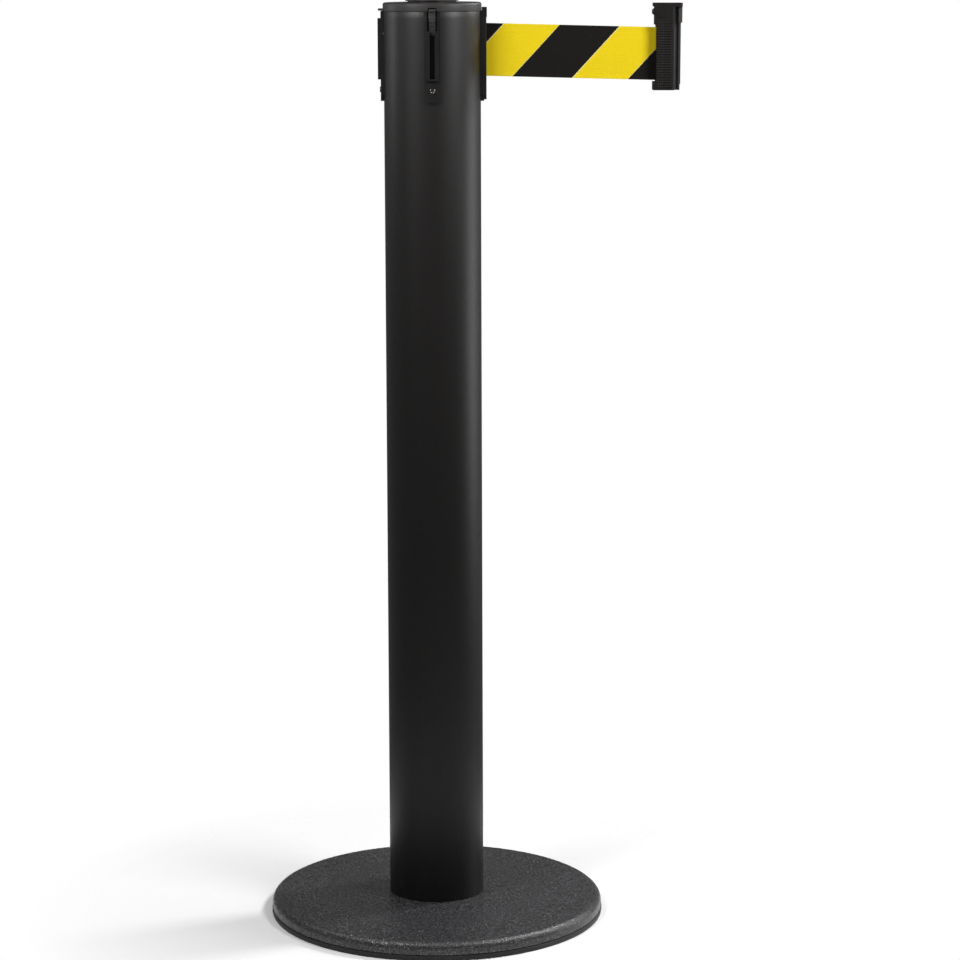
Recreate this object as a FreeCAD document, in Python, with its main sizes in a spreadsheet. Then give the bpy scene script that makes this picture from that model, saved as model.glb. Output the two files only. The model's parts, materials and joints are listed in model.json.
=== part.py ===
import FreeCAD, Part
import math
import os
import re

import Sketcher

# Retractable belt stanchion, in millimetres, +Z up.
# The origin is the centre of the foot, on the floor. The belt runs out along +X.
# The belt droops about the mouth of the belt outlet, and the belt end hangs from it nearly
# plumb, so both are built level and turned by their Placement.

SIZES = {
    # base
    "base_radius": 179.0,
    "base_under": 1.6,
    "base_rim_low": 5.9,
    "base_rim_top": 19.0,
    "base_rim_round": 7.8,
    "base_top": 22.3,
    "base_seat_radius": 52.0,
    "base_slope_radius": 170.5,
    "base_slope_rise": 0.2,
    "base_rabbet_radius": 170.7,
    "ring_radius": 179.6,
    "ring_inner_radius": 160.0,
    "ring_top": 5.4,
    "ring_round": 0.8,
    "washer_pocket_radius": 24.0,
    "washer_pocket_top": 9.0,
    "foot_bolt_radius": 8.0,
    "foot_bolt_clearance": 0.5,
    "foot_bolt_head_radius": 12.0,
    "foot_bolt_head_low": 2.2,
    "foot_bolt_tip": 46.0,
    "foot_washer_radius": 20.0,
    "foot_washer_low": 6.5,
    "foot_plate_thickness": 10.0,
    "foot_boss_radius": 16.0,
    "foot_boss_height": 16.0,
    # post tube
    "tube_radius": 50.8,
    "tube_wall": 2.0,
    "tube_top": 972.7,
    "tube_slot_half": 6.8,
    "tube_slot_low": 947.0,
    # cap and its plug
    "cap_radius": 51.7,
    "cap_top": 981.5,
    "cap_dish": 981.2,
    "cap_round": 2.2,
    "cap_under": 977.0,
    "cap_skirt_radius": 48.6,
    "cap_skirt_wall": 2.4,
    "cap_skirt_low": 958.0,
    "cap_groove_radius": 43.5,
    "cap_groove_width": 2.2,
    "cap_groove_low": 979.6,
    "cap_boss_radius": 11.5,
    "cap_boss_low": 969.4,
    "cap_notch_half": 4.4,
    "cap_notch_radius": 45.5,
    "cap_notch_top": 976.6,
    "cap_skirt_notch_half": 12.0,
    "cap_bolt_radius": 3.0,
    "cap_bolt_clearance": 0.2,
    "cap_bolt_head_radius": 5.0,
    "cap_bolt_seat": 973.2,
    "cap_bolt_head_top": 976.8,
    "cap_bolt_tip": 955.0,
    "cap_bolt_socket_radius": 2.8,
    "cap_bolt_socket_low": 974.2,
    "plug_socket_radius": 9.0,
    "plug_socket_low": 977.6,
    "plug_radius": 28.0,
    "plug_low": 983.0,
    "plug_top": 987.8,
    "plug_neck_radius": 25.5,
    "plug_neck_low": 981.35,
    "plug_stem_radius": 8.8,
    "plug_stem_low": 978.0,
    "plug_round": 1.4,
    # receivers, in their own frame: X away from the post's axis, Y along the slot's width
    "strap_inner_radius": 50.85,
    "strap_outer_radius": 54.2,
    "strap_half": 8.2,
    "strap_low": 879.0,
    "strap_top": 972.6,
    "rail_half": 6.9,
    "rail_inner": 51.2,
    "rail_face": 57.0,
    "rail_low": 901.8,
    "rail_top": 965.2,
    "lip_inner": 55.3,
    "lip_top": 953.0,
    "lip_half_gap": 2.6,
    "channel_half": 4.95,
    "channel_low": 904.0,
    "mouth_half": 5.4,
    "cheek_half": 6.5,
    "cheek_inner": 47.6,
    "cheek_low": 953.4,
    "cheek_top": 966.0,
    "cheek_gap_half": 4.2,
    "receiver_screw_level": 891.2,
    "screw_radius": 1.9,
    "screw_head_radius": 3.0,
    "screw_head_face": 55.1,
    "screw_tip": 42.0,
    "screw_recess_radius": 1.3,
    "screw_recess_depth": 1.4,
    "screw_seat": 53.0,
    # latch tongue
    "latch_half": 3.5,
    "latch_inner": 50.9,
    "latch_outer": 52.4,
    "latch_low": 951.0,
    "latch_hook_low": 973.1,
    "latch_top": 975.4,
    "latch_hook_face": 56.5,
    "latch_rib_height": 1.6,
    "latch_rib_pitch": 3.9,
    "latch_rib_face": 52.9,
    "latch_knuckle_radius": 1.5,
    "latch_pin_radius": 0.9,
    "latch_pin_clearance": 0.06,
    "latch_pin_half": 6.6,
    "latch_pin_x": 51.1,
    "latch_pin_level": 949.6,
    "latch_spring_radius": 1.3,
    "latch_spring_wire": 0.2,
    "latch_spring_pitch": 0.44,
    "latch_spring_turns": 2,
    # belt outlet
    "outlet_strap_half": 9.0,
    "outlet_half": 7.0,
    "outlet_face": 56.7,
    "outlet_low": 878.6,
    "outlet_body_low": 880.5,
    "outlet_top": 976.3,
    "outlet_bulge_face": 57.2,
    "outlet_bulge_low": 966.0,
    "outlet_back": 52.0,
    "outlet_slot_half": 1.3,
    "outlet_slot_low": 901.4,
    "outlet_slot_top": 963.2,
    "nozzle_half": 4.2,
    "nozzle_inner": 48.3,
    "nozzle_low": 900.7,
    "nozzle_top": 965.2,
    "outlet_screw_level": 890.0,
    "outlet_screw_seat": 52.6,
    "outlet_screw_head_face": 54.4,
    # cassette
    "plate_radius": 45.9,
    "cassette_radius": 48.5,
    "cassette_low": 884.0,
    "cassette_skirt_wall": 5.0,
    "cassette_floor": 896.0,
    "cassette_deck": 900.5,
    "top_plate_low": 963.4,
    "top_plate_top": 966.0,
    "pillar_radius": 2.4,
    "pillar_place": 43.2,
    "pillar_screw_radius": 1.25,
    "pillar_screw_head_radius": 2.3,
    "pillar_screw_head_height": 1.6,
    "pillar_screw_length": 8.0,
    "pillar_lower_screw_length": 10.0,
    "shaft_radius": 5.0,
    "shaft_low": 893.0,
    "shaft_top": 969.2,
    "clip_radius": 7.8,
    "clip_groove_radius": 4.2,
    "clip_gap_half": 3.6,
    "clip_low": 894.6,
    "clip_top": 895.9,
    # spool
    "core_inner": 23.0,
    "core_outer": 25.0,
    "roll_radius": 33.5,
    "flange_radius": 40.0,
    "flange_thickness": 1.5,
    "upper_flange_low": 960.7,
    "lower_flange_low": 902.2,
    "web_low": 931.0,
    "web_top": 933.0,
    "hub_radius": 9.5,
    "bush_radius": 7.0,
    "bush_clearance": 0.05,
    "bush_length": 12.0,
    "bush_collar": 0.4,
    "cover_spigot": 1.6,
    "spring_low": 907.5,
    "spring_top": 928.5,
    "spring_inner": 6.6,
    "spring_outer": 22.3,
    "spring_thickness": 0.35,
    "spring_half_turns": 22,
    # guide rollers
    "roller_radius": 4.0,
    "roller_x": 43.5,
    "roller_low": 904.3,
    "roller_top": 960.1,
    "roller_pin_radius": 1.5,
    "roller_pin_clearance": 0.05,
    # belt
    "belt_thickness": 0.5,
    "belt_width": 55.0,
    "belt_middle": 932.2,
    "belt_gap": 0.05,
    "droop_angle": 1.7,
    "droop_pivot_x": 57.0,
    # belt end, as if the belt ran out level
    "end_tilt": 0.3,
    "end_low": 894.6,
    "end_top": 985.1,
    "end_flange_low": 981.3,
    "end_left": 234.0,
    "end_foot_left": 231.2,
    "end_foot_top": 903.3,
    "end_head_left": 232.4,
    "end_head_low": 962.5,
    "end_flange_left": 230.9,
    "end_right": 253.3,
    "end_flange_right": 261.2,
    "end_half": 11.0,
    "end_round": 2.6,
    "end_belt_slot_half": 0.7,
    "loop_x": 241.6,
    "clamp_pin_radius": 2.0,
    "clamp_pin_low": 899.0,
    "clamp_pin_top": 966.0,
    "loop_room_radius": 3.1,
    "end_rail_root": 246.6,
    "end_rail_root_half": 3.6,
    "end_rail_root_inner": 250.2,
    "end_rail_stem_half": 2.2,
    "end_rail_head_x": 257.2,
    "end_rail_head_face": 259.7,
    "end_rail_head_half": 4.5,
    "end_rail_low": 900.6,
    "end_rail_top": 964.6,
    "end_rail_tip_face": 259.0,
    "end_rail_stop_face": 261.0,
    "end_rail_stop_half": 6.4,
    "button_low": 972.6,
    "button_top": 979.4,
    "button_face": 229.7,
    "button_shoulder": 230.9,
    "button_half": 4.0,
    "button_back": 236.8,
    "button_gap": 0.35,
    "button_room_back": 239.4,
    "button_stem_radius": 1.3,
    "button_stem_tip": 240.5,
    "button_spring_radius": 2.0,
    "button_spring_wire": 0.3,
    "button_spring_pitch": 1.2,
    "button_spring_turns": 7,
    "button_spring_room_radius": 2.6,
    "snap_left": 235.0,
    "snap_right": 242.0,
    "snap_low": 970.0,
    "snap_top": 981.0,
    "snap_depth": 1.4,
    "snap_proud": 0.1,
    "snap_gap": 0.2,
    "snap_bridge_left": 239.9,
    "snap_bridge_thickness": 0.9,
    "end_screw_radius": 1.4,
    "end_screw_head_radius": 2.6,
    "end_screw_head_depth": 2.0,
    "end_screw_half": 8.6,
    "end_screw_x": 248.9,
    "end_screw_low_level": 897.8,
    "end_screw_top_level": 969.6,
}

RECEIVER_ANGLES = {"front": 270, "left": 180, "back": 90}
PILLAR_ANGLES = (90, 180, 270)
LATCH_RIBS = 5

doc = FreeCAD.newDocument("belt_stanchion")
sheet = doc.addObject("Spreadsheet::Sheet", "dims")
for row, (alias, size) in enumerate(SIZES.items(), 1):
    sheet.set(f"A{row}", alias)
    sheet.set(f"B{row}", str(size))
    sheet.setAlias(f"B{row}", alias)
doc.recompute()

nodes = {}


# ---------------------------------------------------------------- helpers


def formula(text):
    """Point every sheet name in a formula at the sheet."""

    def cell(match):
        word = match.group()
        return f"dims.{word}" if word in SIZES else word

    return re.sub(r"[a-z][a-z_0-9]*", cell, str(text))


def bind(item, **sizes):
    for name, text in sizes.items():
        item.setExpression(name, formula(text))


def at(item, x=0, y=0, z=0):
    for axis, text in zip("xyz", (x, y, z)):
        item.setExpression(f"Placement.Base.{axis}", formula(text))


def name_node(node, item):
    """Give a finished piece its node name."""
    item.Label = node
    nodes[node] = item
    return item


def cylinder(name, radius, low, high, x=0, y=0):
    item = doc.addObject("Part::Cylinder", name)
    bind(item, Radius=radius, Height=f"({high}) - ({low})")
    at(item, x, y, low)
    return item


def tube(name, outer, inner, low, high, x=0, y=0):
    solid = cylinder(f"{name}_outside", outer, low, high, x, y)
    hole = cylinder(f"{name}_inside", inner, f"{low} - 1", f"{high} + 1", x, y)
    return cut(name, solid, hole)


def rod_x(name, radius, low, high, y, z):
    """A cylinder along X, from low to high."""
    item = doc.addObject("Part::Cylinder", name)
    bind(item, Radius=radius, Height=f"({high}) - ({low})")
    item.Placement.Rotation = FreeCAD.Rotation(FreeCAD.Vector(0, 1, 0), 90)
    at(item, low, y, z)
    return item


def rod_y(name, radius, low, high, x, z):
    """A cylinder along Y, from low to high."""
    item = doc.addObject("Part::Cylinder", name)
    bind(item, Radius=radius, Height=f"({high}) - ({low})")
    item.Placement.Rotation = FreeCAD.Rotation(FreeCAD.Vector(1, 0, 0), -90)
    at(item, x, low, z)
    return item


def box(name, x, y, z):
    """A box between pairs of (low, high) formulas."""
    item = doc.addObject("Part::Box", name)
    length, width, height = (f"({high}) - ({low})" for low, high in (x, y, z))
    bind(item, Length=length, Width=width, Height=height)
    at(item, x[0], y[0], z[0])
    return item


def slab(name, x, half, z):
    """A box that is centred on the plane y = 0."""
    return box(name, x, (f"-({half})", half), z)


def fuse(name, *parts):
    item = doc.addObject("Part::MultiFuse", name)
    item.Shapes = list(parts)
    item.Refine = True
    return item


def cut(name, body, *tools):
    item = doc.addObject("Part::Cut", name)
    item.Base = body
    item.Tool = tools[0] if len(tools) == 1 else fuse(f"{name}_tools", *tools)
    item.Refine = True
    return item


def common(name, first, second):
    item = doc.addObject("Part::Common", name)
    item.Base = first
    item.Tool = second
    item.Refine = True
    return item


def group(name, *parts):
    item = doc.addObject("Part::Compound", name)
    item.Links = list(parts)
    return item


def rounded(name, body, radius, wanted):
    """Round the edges for which wanted(edge) is true."""
    doc.recompute()
    item = doc.addObject("Part::Fillet", name)
    item.Base = body
    size = SIZES[radius]
    edges = enumerate(body.Shape.Edges, 1)
    item.Edges = [(number, size, size) for number, edge in edges if wanted(edge)]
    return item


def outline(body, role, points):
    """A closed sketch of straight lines whose corners are formulas."""
    sketch = body.newObject("Sketcher::SketchObject", f"{body.Name}_outline")
    plane = next(o for o in body.Origin.OriginFeatures if o.Role == role)
    sketch.AttachmentSupport = [(plane, "")]
    sketch.MapMode = "FlatFace"
    count = len(points)
    turn = 2 * math.pi / count
    start = [FreeCAD.Vector(math.cos(turn * n), math.sin(turn * n), 0) for n in range(count)]
    for n in range(count):
        sketch.addGeometry(Part.LineSegment(start[n], start[(n + 1) % count]))
    for n in range(count):
        sketch.addConstraint(Sketcher.Constraint("Coincident", n, 2, (n + 1) % count, 1))
    for n, corner in enumerate(points):
        for kind, text, value in zip(("DistanceX", "DistanceY"), corner, start[n]):
            number = sketch.addConstraint(Sketcher.Constraint(kind, -1, 1, n, 1, value))
            sketch.setExpression(f"Constraints[{number}]", formula(text))
    return sketch


def revolved(name, points):
    """A body turned about Z, from (radius, height) corners."""
    body = doc.addObject("PartDesign::Body", name)
    sketch = outline(body, "XZ_Plane", points)
    doc.recompute()
    turn = body.newObject("PartDesign::Revolution", f"{name}_turn")
    turn.Profile = sketch
    turn.ReferenceAxis = (sketch, ["V_Axis"])
    turn.Angle = 360
    body.Tip = turn
    return body


def upright_pad(name, points, depth, reverse):
    """A body padded along Y from an (x, z) outline, from y = 0."""
    body = doc.addObject("PartDesign::Body", name)
    sketch = outline(body, "XZ_Plane", points)
    doc.recompute()
    pad = body.newObject("PartDesign::Pad", f"{name}_pad")
    pad.Profile = sketch
    bind(pad, Length=depth)
    pad.Reversed = reverse
    body.Tip = pad
    return body


def drooped(item):
    """Turn a level piece down about the mouth of the outlet."""
    item.Placement.Rotation = FreeCAD.Rotation(FreeCAD.Vector(0, 1, 0), SIZES["droop_angle"])
    angle = "droop_angle * 1deg"
    along = f"droop_pivot_x * (1 - cos({angle})) - belt_middle * sin({angle})"
    up = f"belt_middle * (1 - cos({angle})) + droop_pivot_x * sin({angle})"
    at(item, along, 0, up)
    return item


def hung(item):
    """Let a level piece of the belt end down with the belt's loop, tilted only a little."""
    item.Placement.Rotation = FreeCAD.Rotation(FreeCAD.Vector(0, 1, 0), SIZES["end_tilt"])
    tilt = "end_tilt * 1deg"
    reach = "(loop_x - droop_pivot_x)"
    loop_along = f"droop_pivot_x + {reach} * cos(droop_angle * 1deg)"
    loop_up = f"belt_middle - {reach} * sin(droop_angle * 1deg)"
    along = f"{loop_along} - loop_x * cos({tilt}) - belt_middle * sin({tilt})"
    up = f"{loop_up} + loop_x * sin({tilt}) - belt_middle * cos({tilt})"
    at(item, along, 0, up)
    return item


def turned(item, angle):
    """Turn a piece about the post's axis."""
    item.Placement = FreeCAD.Placement(
        FreeCAD.Vector(0, 0, 0), FreeCAD.Rotation(FreeCAD.Vector(0, 0, 1), angle)
    )
    return item


def feature(name, shape):
    item = doc.addObject("Part::Feature", name)
    item.Shape = shape
    return item


def coil(name, spring):
    """A round-wire coil about Z, as one swept solid."""
    radius, wire, pitch, turns = (
        SIZES[f"{spring}_{word}"] for word in ("radius", "wire", "pitch", "turns")
    )
    helix = Part.makeHelix(pitch, pitch * turns, radius)
    start = FreeCAD.Vector(radius, 0, 0)
    section = Part.Wire(Part.makeCircle(wire, start, FreeCAD.Vector(0, 1, 0)))
    return feature(name, Part.Wire(helix.Edges).makePipeShell([section], True, True))


# ---------------------------------------------------------------- base


def make_base():
    plate = revolved(
        "plate_turned",
        [
            ("washer_pocket_radius", "base_under"),
            ("base_rabbet_radius", "base_under"),
            ("base_rabbet_radius", "base_rim_low"),
            ("base_radius", "base_rim_low"),
            ("base_radius", "base_rim_top"),
            ("base_slope_radius", "base_rim_top + base_slope_rise"),
            ("base_seat_radius", "base_top"),
            ("foot_bolt_radius + foot_bolt_clearance", "base_top"),
            ("foot_bolt_radius + foot_bolt_clearance", "washer_pocket_top"),
            ("washer_pocket_radius", "washer_pocket_top"),
        ],
    )

    def rim(edge):
        high = abs(edge.BoundBox.ZMin - SIZES["base_rim_top"]) < 0.01
        flat = edge.BoundBox.ZLength < 0.01
        return high and flat and edge.BoundBox.XMax > SIZES["base_radius"] - 0.1

    name_node("base_plate", rounded("base_plate", plate, "base_rim_round", rim))

    ring = revolved(
        "ring_turned",
        [
            ("ring_inner_radius", 0),
            ("ring_radius", 0),
            ("ring_radius", "ring_top"),
            ("base_rabbet_radius + 0.1", "ring_top"),
            ("base_rabbet_radius + 0.1", "base_under - 0.1"),
            ("ring_inner_radius", "base_under - 0.1"),
        ],
    )

    def ring_edge(edge):
        return edge.BoundBox.ZLength < 0.01 and edge.BoundBox.XMax > SIZES["ring_radius"] - 0.1

    name_node("floor_ring", rounded("floor_ring", ring, "ring_round", ring_edge))


def make_foot_fixing():
    head = doc.addObject("Part::Prism", "foot_bolt_head")
    head.Polygon = 6
    bind(head, Circumradius="foot_bolt_head_radius", Height="foot_washer_low - foot_bolt_head_low")
    at(head, 0, 0, "foot_bolt_head_low")
    shank = cylinder("foot_bolt_shank", "foot_bolt_radius", "foot_washer_low", "foot_bolt_tip")
    name_node("centre_bolt", fuse("centre_bolt", head, shank))
    washer = tube(
        "bolt_washer",
        "foot_washer_radius",
        "foot_bolt_radius + foot_bolt_clearance",
        "foot_washer_low",
        "washer_pocket_top",
    )
    name_node("bolt_washer", washer)
    plate_top = "base_top + foot_plate_thickness"
    boss_top = f"{plate_top} + foot_boss_height"
    plate = cylinder("foot_plate", "tube_radius - tube_wall", "base_top", plate_top)
    boss = cylinder("foot_boss", "foot_boss_radius", "base_top", boss_top)
    thread = cylinder("foot_thread", "foot_bolt_radius", "base_top - 1", f"{boss_top} + 1")
    name_node("tube_foot_plate", cut("tube_foot_plate", fuse("foot_body", plate, boss), thread))


# ---------------------------------------------------------------- post tube


def make_post_tube():
    wall = tube("tube_wall_solid", "tube_radius", "tube_radius - tube_wall", "base_top", "tube_top")
    tools = []
    for side, angle in RECEIVER_ANGLES.items():
        slot = slab(
            f"{side}_tube_slot",
            ("tube_radius - 2 * tube_wall", "tube_radius + tube_wall"),
            "tube_slot_half",
            ("tube_slot_low", "tube_top + 1"),
        )
        hole = rod_x(
            f"{side}_tube_hole",
            "screw_radius",
            "tube_radius - 2 * tube_wall",
            "tube_radius + tube_wall",
            0,
            "receiver_screw_level",
        )
        tools.append(turned(group(f"{side}_tube_tools", slot, hole), angle))
    tools.append(
        slab(
            "outlet_window",
            ("tube_radius - 3 * tube_wall", "tube_radius + tube_wall"),
            "nozzle_half + 0.1",
            ("nozzle_low - 0.1", "nozzle_top + 0.1"),
        )
    )
    tools.append(
        rod_x(
            "outlet_tube_hole",
            "screw_radius",
            "tube_radius - 2 * tube_wall",
            "tube_radius + tube_wall",
            0,
            "outlet_screw_level",
        )
    )
    item = wall
    for number, tool in enumerate(tools):
        item = cut(f"tube_cut_{number}", item, tool)
    name_node("post_tube", item)


# ---------------------------------------------------------------- cap


def make_cap():
    turned_cap = revolved(
        "cap_turned",
        [
            ("cap_bolt_radius + cap_bolt_clearance", "cap_boss_low"),
            ("cap_boss_radius", "cap_boss_low"),
            ("cap_boss_radius", "cap_under"),
            ("cap_skirt_radius - cap_skirt_wall", "cap_under"),
            ("cap_skirt_radius - cap_skirt_wall", "cap_skirt_low"),
            ("cap_skirt_radius", "cap_skirt_low"),
            ("cap_skirt_radius", "tube_top"),
            ("cap_radius", "tube_top"),
            ("cap_radius", "cap_top"),
            ("cap_groove_radius", "cap_top"),
            ("cap_groove_radius", "cap_groove_low"),
            ("cap_groove_radius - cap_groove_width", "cap_groove_low"),
            ("cap_groove_radius - cap_groove_width", "cap_dish"),
            ("plug_socket_radius", "cap_dish"),
            ("plug_socket_radius", "plug_socket_low"),
            ("cap_bolt_head_radius + 0.4", "plug_socket_low"),
            ("cap_bolt_head_radius + 0.4", "cap_bolt_seat"),
            ("cap_bolt_radius + cap_bolt_clearance", "cap_bolt_seat"),
        ],
    )

    def rim(edge):
        flat = edge.BoundBox.ZLength < 0.01 and abs(edge.BoundBox.ZMin - SIZES["cap_top"]) < 0.01
        return flat and edge.BoundBox.XMax > SIZES["cap_radius"] - 0.1

    item = rounded("cap_rounded", turned_cap, "cap_round", rim)
    for side, angle in (*RECEIVER_ANGLES.items(), ("outlet", 0)):
        skirt_notch = slab(
            f"{side}_skirt_notch",
            ("cap_skirt_radius - 3 * cap_skirt_wall", "cap_skirt_radius"),
            "cap_skirt_notch_half",
            ("cap_skirt_low - 1", "tube_top"),
        )
        parts = [skirt_notch]
        if side != "outlet":
            flange_notch = slab(
                f"{side}_flange_notch",
                ("cap_notch_radius", "cap_radius + 1"),
                "cap_notch_half",
                ("tube_top - 1", "cap_notch_top"),
            )
            parts.append(flange_notch)
        notches = parts[0] if len(parts) == 1 else fuse(f"{side}_notches", *parts)
        item = cut(f"cap_cut_{side}", item, turned(notches, angle))
    name_node("top_cap", item)

    head = cylinder("cap_bolt_head", "cap_bolt_head_radius", "cap_bolt_seat", "cap_bolt_head_top")
    shank = cylinder("cap_bolt_shank", "cap_bolt_radius", "cap_bolt_tip", "cap_bolt_seat")
    socket = doc.addObject("Part::Prism", "cap_bolt_socket")
    socket.Polygon = 6
    depth = "cap_bolt_head_top + 1 - cap_bolt_socket_low"
    bind(socket, Circumradius="cap_bolt_socket_radius", Height=depth)
    at(socket, 0, 0, "cap_bolt_socket_low")
    name_node("cap_bolt", cut("cap_bolt", fuse("cap_bolt_solid", head, shank), socket))

    plug = revolved(
        "plug_turned",
        [
            (0, "plug_stem_low"),
            ("plug_stem_radius", "plug_stem_low"),
            ("plug_stem_radius", "plug_neck_low"),
            ("plug_neck_radius", "plug_neck_low"),
            ("plug_neck_radius", "plug_low"),
            ("plug_radius", "plug_low"),
            ("plug_radius", "plug_top"),
            (0, "plug_top"),
        ],
    )

    def plug_rim(edge):
        flat = edge.BoundBox.ZLength < 0.01 and edge.BoundBox.ZMin > SIZES["plug_top"] - 0.01
        return flat and edge.BoundBox.XMax > SIZES["plug_radius"] - 0.1

    name_node("cap_plug", rounded("cap_plug", plug, "plug_round", plug_rim))


# ---------------------------------------------------------------- receivers and latches


def strap(name, half, low, top):
    """A curved strip that lies on the tube, with a round lower end."""
    sheet_metal = tube(f"{name}_sector", "strap_outer_radius", "strap_inner_radius", low, top)
    reach = ("0", "strap_outer_radius + 1")
    upper = slab(f"{name}_window", reach, half, (f"{low} + {half}", f"{top} + 1"))
    end = rod_x(f"{name}_end", half, *reach, 0, f"{low} + {half}")
    return common(name, sheet_metal, fuse(f"{name}_shape", upper, end))


def make_receiver(side, angle):
    through = "rail_face + 1"
    cheeks = cut(
        f"{side}_cheeks",
        slab(
            f"{side}_cheek_block",
            ("cheek_inner", "rail_inner + 1"),
            "cheek_half",
            ("cheek_low", "cheek_top"),
        ),
        slab(
            f"{side}_cheek_gap",
            ("cheek_inner - 1", "rail_inner + 2"),
            "cheek_gap_half",
            ("cheek_low - 1", "cheek_top + 1"),
        ),
    )
    rails = slab(f"{side}_rails", ("rail_inner", "rail_face"), "rail_half", ("rail_low", "rail_top"))
    back = strap(f"{side}_strap", "strap_half", "strap_low", "strap_top")
    tools = [
        slab(
            f"{side}_channel",
            ("tube_radius - 1", "lip_inner"),
            "channel_half",
            ("channel_low", "lip_top"),
        ),
        slab(
            f"{side}_gap",
            ("lip_inner - 1", through),
            "lip_half_gap",
            ("channel_low", "lip_top + 1"),
        ),
        slab(
            f"{side}_mouth",
            ("rail_inner", through),
            "mouth_half",
            ("lip_top", "strap_top + 1"),
        ),
        slab(
            f"{side}_tongue_room",
            ("cheek_inner - 1", "rail_inner + 1"),
            "cheek_gap_half",
            ("lip_top", "strap_top + 1"),
        ),
        rod_y(
            f"{side}_pin_hole",
            "latch_pin_radius",
            "-strap_half - 1",
            "strap_half + 1",
            "latch_pin_x",
            "latch_pin_level",
        ),
        rod_x(
            f"{side}_screw_hole",
            "screw_radius",
            "tube_radius - 1",
            "rail_face",
            0,
            "receiver_screw_level",
        ),
        rod_x(
            f"{side}_screw_seat",
            "screw_head_radius",
            "screw_seat",
            "rail_face",
            0,
            "receiver_screw_level",
        ),
    ]
    receiver = cut(f"{side}_receiver", fuse(f"{side}_body", back, rails, cheeks), *tools)
    name_node(f"{side}_receiver", turned(receiver, angle))


def make_latch(side, angle):
    about = ("latch_pin_x", "latch_pin_level")
    parts = [
        slab(
            f"{side}_tongue",
            ("latch_inner", "latch_outer"),
            "latch_half",
            ("latch_low", "latch_top"),
        ),
        slab(
            f"{side}_hook",
            ("latch_inner", "latch_hook_face"),
            "latch_half",
            ("latch_hook_low", "latch_top"),
        ),
        rod_y(f"{side}_knuckle", "latch_knuckle_radius", "-latch_half", "latch_half", *about),
    ]
    for number in range(LATCH_RIBS):
        low = f"lip_top + 1 + {number} * latch_rib_pitch"
        parts.append(
            slab(
                f"{side}_rib_{number}",
                ("latch_inner", "latch_rib_face"),
                "latch_half",
                (low, f"{low} + latch_rib_height"),
            )
        )
    bore = rod_y(
        f"{side}_latch_bore",
        "latch_pin_radius + latch_pin_clearance",
        "-latch_half - 1",
        "latch_half + 1",
        *about,
    )
    latch = cut(f"{side}_latch", fuse(f"{side}_latch_solid", *parts), bore)
    name_node(f"{side}_latch", turned(latch, angle))


def latch_spring(side, angle):
    """A torsion coil on the pin, beside the tongue."""
    item = coil(f"{side}_latch_spring", "latch_spring")
    beside = SIZES["latch_half"] + 1.4 * SIZES["latch_spring_wire"]
    place = FreeCAD.Vector(SIZES["latch_pin_x"], beside, SIZES["latch_pin_level"])
    on_pin = FreeCAD.Placement(place, FreeCAD.Rotation(FreeCAD.Vector(1, 0, 0), -90))
    about = FreeCAD.Rotation(FreeCAD.Vector(0, 0, 1), angle)
    item.Placement = FreeCAD.Placement(FreeCAD.Vector(0, 0, 0), about).multiply(on_pin)
    name_node(f"{side}_latch_spring", item)


def make_receivers():
    pins = []
    screws = []
    for side, angle in RECEIVER_ANGLES.items():
        make_receiver(side, angle)
        make_latch(side, angle)
        latch_spring(side, angle)
        pin = rod_y(
            f"{side}_pin",
            "latch_pin_radius",
            "-latch_pin_half",
            "latch_pin_half",
            "latch_pin_x",
            "latch_pin_level",
        )
        pins.append(turned(group(f"{side}_pin_group", pin), angle))
        screw = panel_screw(f"{side}_screw", "receiver_screw_level", "screw_head_face", "screw_seat")
        screws.append(turned(screw, angle))
    name_node("latch_pins", group("latch_pins", *pins))
    name_node("receiver_screws", group("receiver_screws", *screws))


def panel_screw(name, level, face, seat):
    """A screw along X with a domed head that has a round recess."""
    head = rod_x(f"{name}_head", "screw_head_radius", seat, face, 0, level)
    shank = rod_x(f"{name}_shank", "screw_radius", "screw_tip", seat, 0, level)
    recess = rod_x(
        f"{name}_recess",
        "screw_recess_radius",
        f"{face} - screw_recess_depth",
        f"{face} + 1",
        0,
        level,
    )
    return cut(name, fuse(f"{name}_solid", head, shank), recess)


# ---------------------------------------------------------------- belt outlet


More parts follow.
